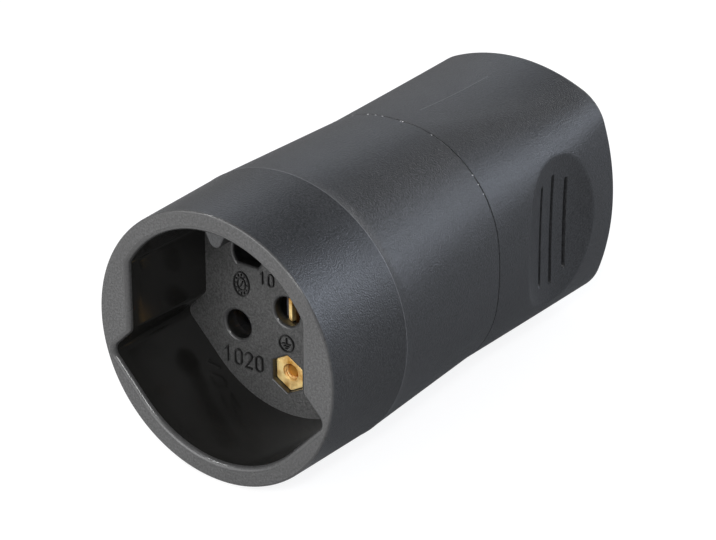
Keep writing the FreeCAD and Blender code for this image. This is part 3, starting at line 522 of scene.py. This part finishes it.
def scooped_ring(y):
    """The handle's outline at a depth, with its scoops, grooves and the raised parting line."""
    ring = plain_ring(handle_form(y))
    right, crown = ring[:len(SIDE_ROWS)], ring[len(SIDE_ROWS):len(ring) // 2]
    right[:, 0] = smooth_min(right[:, 0], scoop_side(y, SIDE_ROWS), SCOOP_BLEND) - groove_depth(y, SIDE_ROWS)
    fade = smooth_step(*LINE_FADE_IN, y) * (1 - smooth_step(*LINE_FADE_OUT, y))
    crown[:, 1] += LINE_RISE * fade * np.exp(-(crown[:, 0] / LINE_SPREAD) ** 2)
    return np.concatenate([right, crown, -right, -crown])


def handle_rows():
    """Depths of the handle's rows: even ones, closer at the scoops and closest across the grooves."""
    rows = [np.linspace(CAP_Y + SEAM_ROUND, FRONT_ROWS_END, 14),
            np.arange(SCOOP_ROWS_START, SCOOP_ROWS_END, SCOOP_ROW),
            np.linspace(REAR_ROWS_START, LENGTH - END_EDGE, 9)]
    for step in GROOVE_HALF_LENGTHS:
        middle = SCOOP_Y + GROOVE_PITCH * step
        rows += [middle - GROOVE_STEPS, [middle], middle + GROOVE_STEPS]
    rows = np.unique(np.concatenate(rows).round(4))
    return rows[np.concatenate([[True], np.diff(rows) > LEAST_ROW])]


def cap_outside(skin, rebate):
    """Seam edge, scooped handle and rounded end; returns the ring in the rear face."""
    front = handle_form(CAP_Y)
    steps = [(plain_ring(front - SEAM_ROUND + run), CAP_Y + sunk)
             for sunk, run in rounding(SEAM_ROUND, 4, start=0)]
    steps += [(scooped_ring(y), y) for y in handle_rows()]
    steps += [(plain_ring(END - sunk), LENGTH - END_EDGE + run) for sunk, run in rounding(END_EDGE, 7)]
    steps.append((plain_ring(END - END_EDGE - EDGE), LENGTH))
    rear = skin.run(rebate, steps, HANDLE)
    # the parting line's faces take the light flash plastic, a painted highlight
    for k, corners in enumerate(skin.faces):
        x, y, z = np.mean([skin.points[i] for i in corners], 0)
        if abs(x) < LINE_HALF and abs(z) > WAIST[1] - LINE_DROP and LINE_START < y < LINE_END:
            skin.slots[k] = LINE
    return rear


def cap_inside(skin, rebate, form, holes):
    """Rebate for the lap, then the hollow with the bulges behind the scoops, up to the rings of its holes."""
    angles = np.arctan2(*plain_ring(WAIST).T[::-1])
    rebate_end = SEAM_Y + LAP_LENGTH + LAP_CLEARANCE

    def hollow(y):
        outline = around(angles, polar(pillow_outline(handle_form(y) - WALL), angles))
        width = np.minimum(np.abs(outline[:, 0]), scoop_side(y, outline[:, 1], WALL))
        return np.stack([np.sign(outline[:, 0]) * width, outline[:, 1]], 1)

    steps = [(plain_ring(form), rebate_end)]
    steps += [(hollow(y), y) for y in np.linspace(rebate_end, LENGTH - END_WALL, 28)]
    skin.cap(skin.run(rebate, steps, HANDLE), holes, HANDLE)


def cap_skin(materials):
    """Handle half: scooped outside with grooves, rounded end, cord inlet, screw post and hollow inside."""
    skin = Skin()
    rebate_form = handle_form(CAP_Y) - LAP_INSET + LAP_CLEARANCE
    rebate = skin.ring(plain_ring(rebate_form), CAP_Y)
    rear = cap_outside(skin, rebate)
    inlet_face, inlet = round_hole(skin, lambda grow: circle(0, 0, INLET_R + grow), INLET_LEAD,
                                   LENGTH, INLET_FRONT)
    head_face, head = round_hole(skin, lambda grow: circle(0, NUT_Z, HEAD_BORE_R + grow), HEAD_ROUND,
                                 LENGTH, SCREW_SEAT)
    skin.cap(rear, [inlet_face, head_face], HANDLE)
    inner_end = LENGTH - END_WALL
    collar = circle(0, 0, INLET_COLLAR_R)
    collar_end = skin.run(inlet, [(collar, INLET_FRONT), (collar, inner_end)], HANDLE)
    bore, post, head_post = (circle(0, NUT_Z, radius) for radius in (SCREW_BORE_R, POST_R, HEAD_POST_R))
    post_end = skin.run(head, [(bore, SCREW_SEAT), (bore, SEAM_Y), (post, SEAM_Y), (post, HEAD_POST_Y),
                               (head_post, HEAD_POST_Y), (head_post, inner_end)], HANDLE)
    cap_inside(skin, rebate, rebate_form, [collar_end, post_end])
    piece = skin.piece("rear_cap_skin", materials, "housing_plastic")
    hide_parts("rear_cap")


def brass_nut(material):
    """A hexagon nut: broken edges, blunt corners and a threaded bore."""
    skin = Skin()
    blunt, mouth_r, countersink_r, core_r, thread_depth = 0.06, 1.46, 1.43, 1.27, 0.12
    countersink, thread_inset, turns, flank = 0.03, 0.3, 5, (0.1, 0.9)
    # inset and depth along a broken edge
    broken_edge = ((0.12, 0.0), (0.04, 0.03), (0.0, 0.11))
    angles = np.linspace(0, TAU, 96, endpoint=False)
    facet = (angles - QUARTER) % (TAU / 6) - TAU / 12
    flat = NUT_FLATS / 2
    reach = np.minimum(flat / np.cos(facet), flat / math.cos(TAU / 12) - blunt)

    def ring(radii):
        return around(angles, radii) + (0, NUT_Z)

    face = skin.ring(ring(mouth_r), NUT_FRONT)
    outside = [(ring(reach - inset), NUT_FRONT + depth) for inset, depth in broken_edge]
    outside += [(ring(reach - inset), NUT_BACK - depth) for inset, depth in (broken_edge[2], broken_edge[0])]
    back = skin.run(face, outside + [(ring(mouth_r), NUT_BACK)])
    # the thread: a helical ripple of the bore between the two countersinks
    inside = [(ring(countersink_r), NUT_FRONT + countersink)]
    pitch = (NUT_BACK - NUT_FRONT) / turns
    for y in np.linspace(NUT_FRONT + thread_inset, NUT_BACK - thread_inset, 61):
        wave = np.abs(((y - NUT_FRONT) / pitch + angles / TAU) % 1 * 2 - 1)
        inside.append((ring(core_r + thread_depth * smooth_step(*flank, wave)), y))
    inside.append((ring(countersink_r), NUT_BACK - countersink))
    skin.bridge(skin.run(face, inside), back)
    piece = skin.piece("brass_nut", [material], "brass", sharp=24)
    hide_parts("hex_nut")


# marks of the socket floor

STROKE_HEIGHT, STROKE_ROOT = 0.3, 0.1
# half widths and heights of a stroke's section, as shares of its width and height
STROKE_SIDE, STROKE_SHOULDER, STROKE_TOP = 0.5, 0.7, 0.38
NUMBER_STROKE = 0.27
EARTH_SIGN, DIAL = np.array([0.0, -6.1]), np.array([-8.6, 1.5])


def stroke(skin, points, width, closed=False):
    """A raised moulded line on the socket's floor."""
    points = np.array(points, float)
    ahead = np.roll(points, -1, 0) - points
    if not closed:
        ahead[-1] = ahead[-2]
    behind = np.roll(ahead, 1, 0)
    if not closed:
        behind[0] = ahead[0]
    unit = ahead / np.linalg.norm(ahead, axis=1)[:, None] + behind / np.linalg.norm(behind, axis=1)[:, None]
    # longer at a bend, so that the line keeps its width
    scale = 2 / np.maximum((unit ** 2).sum(1), 1.0)
    normal = np.stack([-unit[:, 1], unit[:, 0]], 1) * scale[:, None]
    left = ((STROKE_SIDE, STROKE_ROOT), (STROKE_SIDE, -STROKE_SHOULDER * STROKE_HEIGHT),
            (STROKE_TOP, -STROKE_HEIGHT))
    right = [(-share, depth) for share, depth in reversed(left)]
    rows = [skin.ring(points + normal * share * width, RECESS_DEPTH + depth)
            for share, depth in (*left, *right)]
    for one, other in zip(rows, rows[1:] + rows[:1]):
        skin.bridge(one, other, closed=closed)
    if not closed:
        for end in (0, -1):
            skin.face(row[end] for row in rows)


def digit_line(digit, half, width):
    """The line of a plain digit about its middle, and whether it is closed."""
    if digit == "1":
        return np.array([(-width * 0.8, half * 0.55), (0, half), (0, -half)]), False
    if digit == "2":
        bow = arc((0, half - width), width, math.pi * 0.95, -0.6, 14)
        return np.concatenate([bow, [(-width, -half), (width * 1.1, -half)]]), False
    upper = arc((0, half - width), width, 0, math.pi, 14)
    return np.concatenate([upper, -upper]), True


def number(skin, digits, x, z, height, pitch):
    """A plain number of moulded strokes; x is the middle of its first digit."""
    for place, digit in enumerate(digits):
        points, closed = digit_line(digit, height / 2, height * 0.24)
        stroke(skin, points + (x + place * pitch, z), NUMBER_STROKE, closed)


def earth_sign(skin):
    """A ring with a stem and three bars."""
    ring_r, ring_width, stem_width, bar_width = 1.35, 0.22, 0.2, 0.18
    stem_top, stem_foot = 0.95, -0.05
    bars = ((0.05, 0.8), (0.45, 0.5), (0.85, 0.22))
    stroke(skin, circle(*EARTH_SIGN, ring_r, 48), ring_width, closed=True)
    stroke(skin, [EARTH_SIGN + (0, stem_top), EARTH_SIGN + (0, stem_foot)], stem_width)
    for drop, half in bars:
        stroke(skin, [EARTH_SIGN + (-half, -drop), EARTH_SIGN + (half, -drop)], bar_width)


def mould_dial(skin):
    """A plain oval dial with twelve ticks and a pointer."""
    oval, pointer = np.array([1.45, 2.0]), np.array([0.25, 0.5])
    inner_share, tick_start, tick_end = 0.52, 0.66, 0.87
    ring_width, inner_width, pointer_width, tick_width = 0.22, 0.18, 0.2, 0.14
    stroke(skin, circle(0, 0, 1.0, 56) * oval + DIAL, ring_width, closed=True)
    stroke(skin, circle(0, 0, inner_share, 32) * oval + DIAL, inner_width, closed=True)
    stroke(skin, [DIAL - pointer, DIAL + pointer], pointer_width)
    for turn in np.arange(12) * TAU / 12:
        way = np.array([math.cos(turn), math.sin(turn)]) * oval
        stroke(skin, [way * tick_start + DIAL, way * tick_end + DIAL], tick_width)


def floor_marks(material):
    """Generic moulded marks: an earth sign, a dial and plain numbers."""
    skin = Skin()
    earth_sign(skin)
    mould_dial(skin)
    number(skin, "1020", x=-11.5, z=-11.3, height=2.6, pitch=2.05)
    number(skin, "10", x=-4.5, z=3.7, height=2.0, pitch=1.6)
    skin.piece("floor_marks", [material], "housing_plastic")


# materials; the scales of their patterns are in turns per metre

CLOUD_SCALE, STAIN_SCALE, BRUSH_SCALE = 70, 420, 2600


def add_node(tree, kind, **values):
    """A new shader node with some inputs set; an underscore stands for the space in an input's name."""
    node = tree.nodes.new("ShaderNode" + kind)
    for name, value in values.items():
        node.inputs[name.replace("_", " ")].default_value = value
    return node


def new_material(name):
    """An empty material with its principled shader."""
    material = bpy.data.materials.new(name)
    material.use_nodes = True
    tree = material.node_tree
    tree.nodes.clear()
    shader = add_node(tree, "BsdfPrincipled")
    tree.links.new(shader.outputs["BSDF"], add_node(tree, "OutputMaterial").inputs["Surface"])
    return tree, shader, material


def noise(tree, scale, detail, stretch=None):
    """A noise pattern in the frame; stretch squeezes it along the axes."""
    place = add_node(tree, "TexCoord").outputs["Object"]
    if stretch:
        mapping = add_node(tree, "Mapping", Scale=stretch)
        tree.links.new(place, mapping.inputs["Vector"])
        place = mapping.outputs["Vector"]
    texture = add_node(tree, "TexNoise", Scale=scale, Detail=detail)
    tree.links.new(place, texture.inputs["Vector"])
    return texture.outputs["Fac"]


def ramp(tree, share, stops):
    """Colours, or greys, along a pattern."""
    node = add_node(tree, "ValToRGB")
    for element, (place, colour) in zip(node.color_ramp.elements, stops):
        element.position = place
        element.color = (*colour, 1) if isinstance(colour, tuple) else (colour, colour, colour, 1)
    tree.links.new(share, node.inputs["Fac"])
    return node.outputs["Color"]


def multiply(tree, one, other):
    """The product of two colours."""
    node = tree.nodes.new("ShaderNodeMix")
    node.data_type = "RGBA"
    node.blend_type = "MULTIPLY"
    node.inputs["Factor"].default_value = 1.0
    tree.links.new(one, node.inputs["A"])
    tree.links.new(other, node.inputs["B"])
    return node.outputs["Result"]


def bump(tree, shader, layers):
    """Stacks bump layers: (pattern, height in millimetres, strength)."""
    previous = None
    for pattern, height, strength in layers:
        node = add_node(tree, "Bump", Distance=height * MM, Strength=strength)
        tree.links.new(pattern, node.inputs["Height"])
        if previous:
            tree.links.new(previous, node.inputs["Normal"])
        previous = node.outputs["Normal"]
    tree.links.new(previous, shader.inputs["Normal"])


def share_along_x(tree, start, end):
    """A share that grows from 0 to 1 between two places along X."""
    split = add_node(tree, "SeparateXYZ")
    tree.links.new(add_node(tree, "TexCoord").outputs["Object"], split.inputs["Vector"])
    span = add_node(tree, "MapRange", From_Min=start * MM, From_Max=end * MM)
    tree.links.new(split.outputs["X"], span.inputs["Value"])
    return span.outputs["Result"]


def plastic(name, dark, light, rough, grain, grain_height):
    """Moulded plastic: eroded grain, faint flow clouds and a roughness that follows them."""
    tree, shader, material = new_material(name)
    fine = noise(tree, grain, 1.0)
    finer = noise(tree, grain * 1.7, 1.0)
    cloud = noise(tree, CLOUD_SCALE, 4.0)
    speckle = ramp(tree, fine, ((0.3, dark), (0.72, light)))
    clouds = ramp(tree, cloud, ((0.3, 0.86), (0.7, 1.0)))
    tree.links.new(multiply(tree, speckle, clouds), shader.inputs["Base Color"])
    gloss = ramp(tree, cloud, ((0.3, rough[0]), (0.7, rough[1])))
    tree.links.new(gloss, shader.inputs["Roughness"])
    bump(tree, shader, ((fine, grain_height, 0.6), (finer, grain_height, 0.4)))
    return material


def metal(name, stops, rough, brush, scratch, painted_shade_span=None):
    """Metal with a fine grain along one axis, stains and a changing gloss; its last argument, if given,
    paints shade on it, near-black beyond a span along X.
    """
    tree, shader, material = new_material(name)
    shader.inputs["Metallic"].default_value = 1.0
    stain = noise(tree, STAIN_SCALE, 5.0)
    colour = ramp(tree, stain, stops)
    if painted_shade_span:
        # painted shade: beyond the span along X the metal is darkened to near-black
        painted_shade = ramp(tree, share_along_x(tree, *painted_shade_span), ((0.0, 1.0), (1.0, (0.035, 0.02, 0.008))))
        colour = multiply(tree, colour, painted_shade)
    tree.links.new(colour, shader.inputs["Base Color"])
    grain = noise(tree, BRUSH_SCALE, 3.0, brush)
    gloss = ramp(tree, grain, ((0.25, rough[0]), (0.75, rough[1])))
    tree.links.new(gloss, shader.inputs["Roughness"])
    bump(tree, shader, ((grain, scratch, 0.5), (stain, scratch * 2, 0.25)))
    return material


# plastics: dark and light colour of the speckle, range of roughness, scale and height of the grain
housing = plastic("housing_plastic", (0.012, 0.0124, 0.0135), (0.038, 0.0392, 0.0415), (0.35, 0.43), 3700,
                  0.105)
# painted light: the rim takes a copy of the housing plastic about twice as light, so that the front face
# looks lit
rim = plastic("rim_painted_light_plastic", (0.032, 0.032, 0.0325), (0.078, 0.078, 0.079), (0.4, 0.5), 3100, 0.09)
# painted light: the lip takes the rim's lighter colour, a lit copy of the housing plastic; its lower
# roughness and smooth grain are its own
lip = plastic("lip_painted_light_plastic", (0.04, 0.04, 0.0405), (0.06, 0.06, 0.061), (0.24, 0.3), 3600, 0.01)
# painted highlight: a light copy of the housing plastic on the raised parting ring and parting line, for the
# highlight they catch
flash_highlight = plastic("flash_painted_highlight_plastic", (0.10, 0.10, 0.105), (0.16, 0.16, 0.165), (0.3, 0.4), 3600, 0.02)
# painted shade: a darker, warmer copy of the housing plastic for the recess walls, where shade falls
recess = plastic("recess_painted_shade_plastic", (0.010, 0.0098, 0.0092), (0.015, 0.0148, 0.014), (0.14, 0.2), 5200, 0.001)
# painted light: the socket's floor takes a copy of the housing plastic about twice as light, so that it looks
# lit
socket_floor_painted_light = plastic("floor_painted_light_plastic", (0.03, 0.03, 0.03), (0.078, 0.078, 0.0775), (0.42, 0.52), 3100, 0.12)
# painted glints: a pale plastic on the raised specks along the seam
speck_glint = plastic("speck_glint_plastic", (0.4, 0.4, 0.41), (0.6, 0.6, 0.61), (0.4, 0.5), 3600, 0.02)
# painted shade: a near-black copy of the housing plastic for the floor's raised marks, the holes' walls and
# the nut pocket's back
marks = plastic("painted_shade_black_plastic", (0.008, 0.008, 0.008), (0.016, 0.016, 0.016), (0.3, 0.4), 3600, 0.01)
carrier = plastic("carrier_plastic", (0.016, 0.016, 0.017), (0.026, 0.026, 0.028), (0.45, 0.6), 3000, 0.01)

# metals: colours from stained to clean, range of roughness, direction of the brushing, depth of scratches
BRASS = ((0.36, (0.52, 0.27, 0.05)), (0.58, (1.0, 0.80, 0.40)))
# painted shade: a darker brass for the screw's end, deep in the nut's bore
SHADED_BRASS = ((0.3, (0.42, 0.18, 0.03)), (0.7, (0.62, 0.30, 0.06)))
# painted shade: spring steel darkened to a near-black grey, for the earth's spring clip down in its hole
SHADED_STEEL = ((0.3, (0.07, 0.07, 0.085)), (0.7, (0.13, 0.13, 0.15)))
PLATED_STEEL = ((0.3, (0.55, 0.55, 0.54)), (0.7, (0.70, 0.71, 0.71)))
brass = metal("brass", BRASS, (0.52, 0.8), (1, 1, 0.15), 0.004)
# painted shade: the earth contact's leaf beyond X = 0.15 mm is painted near-black
half_shaded_brass = metal("half_shaded_brass", BRASS, (0.52, 0.8), (1, 1, 0.15), 0.004, painted_shade_span=(0.0, 0.15))
shaded_brass = metal("shaded_brass", SHADED_BRASS, (0.35, 0.5), (1, 1, 0.15), 0.004)
shaded_spring = metal("spring_steel", SHADED_STEEL, (0.35, 0.5), (1, 0.15, 1), 0.003)
steel = metal("plated_steel", PLATED_STEEL, (0.25, 0.42), (1, 1, 0.2), 0.004)

# pieces, and the nodes that stay as they are
front_skin([housing, recess, socket_floor_painted_light, rim, lip, flash_highlight, marks, speck_glint])
cap_skin([housing, flash_highlight])
key_rib(housing)
brass_nut(brass)
floor_marks(marks)

BY_SLOT = {"housing_plastic": housing, "carrier_plastic": carrier, "brass": brass, "spring_steel": shaded_spring,
           "plated_steel": steel}
# painted shade: the screw's end, deep in the nut, takes a darker brass, and the earth's second leaf is
# painted near-black
BY_NODE = {"assembly_screw": shaded_brass, "earth_contact": half_shaded_brass}
for row in frame["record"]["subparts"]:
    for holder in frame["nodes"][row["node"]].material_slots:
        holder.material = BY_NODE.get(row["node"], BY_SLOT[row["material_slot"]])


# stage, light and camera; their lengths are in metres

FLOOR_HALF, FLOOR_GAP = 6.0, 0.0001
TABLE_GREY, PALE_GREY = (0.34, 0.34, 0.34, 1), (0.8, 0.8, 0.8, 1)
# painted pool of light: a glowing patch of the floor before the mouth's left, seen only by the object
LIGHT_POOL_WAY, LIGHT_POOL_FADE, LIGHT_POOL_GLOW = (-0.6, -0.8, 0), 0.02, 1.0
FLOOR_GLOW, FLOOR_GLOW_SHARE = 1.2, 0.7
LAMP_DISTANCE = 0.7
COOL = (0.88, 0.97, 1.14)
# the camera was fitted to the connector's circles in the photo: degrees, millimetres and pixels
CAMERA_TURN, CAMERA_LIFT = 36.547, 26.146
CAMERA_AIM, CAMERA_RIGHT, CAMERA_UP, CAMERA_BACK = Vector((0, 20, 0)), 9.358, 4.817, 457.634
FOCAL_PIXELS, PHOTO_WIDTH, SENSOR_WIDTH = 3007.892, 716, 36


def direction(turn, lift):
    """The way from the connector outwards; turn and lift in degrees, counted from the socket's front."""
    turn, lift = math.radians(turn), math.radians(lift)
    return Vector((math.sin(turn) * math.cos(lift), -math.cos(turn) * math.cos(lift), math.sin(lift)))


def mix_shaders(tree, share, one, other):
    """A shader between two; share is a number or the output of a node."""
    node = add_node(tree, "MixShader")
    if isinstance(share, float):
        node.inputs["Fac"].default_value = share
    else:
        tree.links.new(share, node.inputs["Fac"])
    tree.links.new(one.outputs[0], node.inputs[1])
    tree.links.new(other.outputs[0], node.inputs[2])
    return node


def reach_along(tree, coordinate, way, **span):
    """A value that follows how far a coordinate lies in one direction."""
    reach = add_node(tree, "VectorMath")
    reach.operation = "DOT_PRODUCT"
    reach.inputs[1].default_value = way
    tree.links.new(add_node(tree, "TexCoord").outputs[coordinate], reach.inputs[0])
    value = add_node(tree, "MapRange", **span)
    tree.links.new(reach.outputs["Value"], value.inputs["Value"])
    return value.outputs["Result"]


def stage_material():
    """Pale and bright to the camera; to the object a grey table with a glowing patch before the mouth's left,
    a painted pool of light.
    """
    material = bpy.data.materials.new("stage_white")
    material.use_nodes = True
    tree = material.node_tree
    tree.nodes.clear()
    table = add_node(tree, "BsdfDiffuse", Color=TABLE_GREY)
    light_pool = add_node(tree, "Emission", Strength=LIGHT_POOL_GLOW)
    light_pool_share = reach_along(tree, "Object", LIGHT_POOL_WAY, From_Min=-LIGHT_POOL_FADE, From_Max=LIGHT_POOL_FADE)
    pale = add_node(tree, "BsdfDiffuse", Color=PALE_GREY)
    glow = add_node(tree, "Emission", Strength=FLOOR_GLOW)
    to_object = mix_shaders(tree, light_pool_share, table, light_pool)
    to_camera = mix_shaders(tree, FLOOR_GLOW_SHARE, pale, glow)
    seen = add_node(tree, "LightPath").outputs["Is Camera Ray"]
    surface = mix_shaders(tree, seen, to_object, to_camera)
    tree.links.new(surface.outputs[0], add_node(tree, "OutputMaterial").inputs["Surface"])
    return material


def stage_floor():
    """The floor, just under the parting ring."""
    half, height = FLOOR_HALF, -PARTING_R * MM - FLOOR_GAP
    corners = [(-half, -half, height), (half, -half, height), (half, half, height), (-half, half, height)]
    mesh = bpy.data.meshes.new("stage_floor")
    mesh.from_pydata(corners, [], [(0, 1, 2, 3)])
    mesh.materials.append(stage_material())
    floor = bpy.data.objects.new("stage_floor", mesh)
    bpy.context.scene.collection.objects.link(floor)


def white_world(strength, flag_strength, flag, flag_inside, flag_outside):
    """White to the camera; to the object a plain light with a dark flag, its edges in degrees off its way."""
    world = bpy.data.worlds.new("studio")
    bpy.context.scene.world = world
    world.use_nodes = True
    tree = world.node_tree
    tree.nodes.clear()
    light = add_node(tree, "Background")
    outside, inside = math.cos(math.radians(flag_outside)), math.cos(math.radians(flag_inside))
    shade = reach_along(tree, "Generated", flag, From_Min=outside, From_Max=inside,
                        To_Min=strength, To_Max=flag_strength)
    tree.links.new(shade, light.inputs["Strength"])
    white = add_node(tree, "Background", Strength=1.0)
    seen = add_node(tree, "LightPath").outputs["Is Camera Ray"]
    surface = mix_shaders(tree, seen, light, white)
    tree.links.new(surface.outputs[0], add_node(tree, "OutputWorld").inputs["Surface"])


def softbox(name, turn, lift, size, energy, colour=(1, 1, 1)):
    """A square lamp at arm's length, aimed at the connector's middle."""
    light = bpy.data.lights.new(name, "AREA")
    light.size = size
    light.energy = energy
    light.color = colour
    lamp = bpy.data.objects.new(name, light)
    way = direction(turn, lift)
    lamp.location = Vector((0, LENGTH / 2 * MM, 0)) + way * LAMP_DISTANCE
    lamp.rotation_euler = way.to_track_quat("Z", "Y").to_euler()
    bpy.context.scene.collection.objects.link(lamp)


def photo_camera():
    """The camera of the photo."""
    back = direction(CAMERA_TURN, CAMERA_LIFT)
    right = Vector((0, 0, 1)).cross(back).normalized()
    up = back.cross(right)
    place = CAMERA_AIM + right * CAMERA_RIGHT + up * CAMERA_UP + back * CAMERA_BACK
    data = bpy.data.cameras.new("photo_camera")
    data.sensor_width = SENSOR_WIDTH
    data.lens = FOCAL_PIXELS * SENSOR_WIDTH / PHOTO_WIDTH
    data.clip_start, data.clip_end = 0.01, 50
    camera = bpy.data.objects.new("photo_camera", data)
    camera.matrix_world = Matrix.Translation(place * MM) @ Matrix((right, up, back)).transposed().to_4x4()
    bpy.context.scene.collection.objects.link(camera)
    bpy.context.scene.camera = camera


stage_floor()
white_world(0.58, 0.02, direction(172, 48), flag_inside=20, flag_outside=38)
softbox("front_left_light", 330, 11, 0.6, 2.9)
softbox("front_light", 353, 13, 0.5, 2.1)
softbox("front_high_light", 34, 35, 0.07, 1.6)
softbox("right_light", 105, 40, 0.3, 0.5, COOL)
softbox("rear_right_light", 131, 26, 0.3, 1.95, COOL)
softbox("rear_left_light", 219, 36, 0.35, 0.36, COOL)
softbox("edge_light", 309, 46, 0.06, 1.1)
softbox("rear_light", 182, 13, 0.3, 0.7)
photo_camera()
bpy.context.scene.view_settings.view_transform = "Standard"
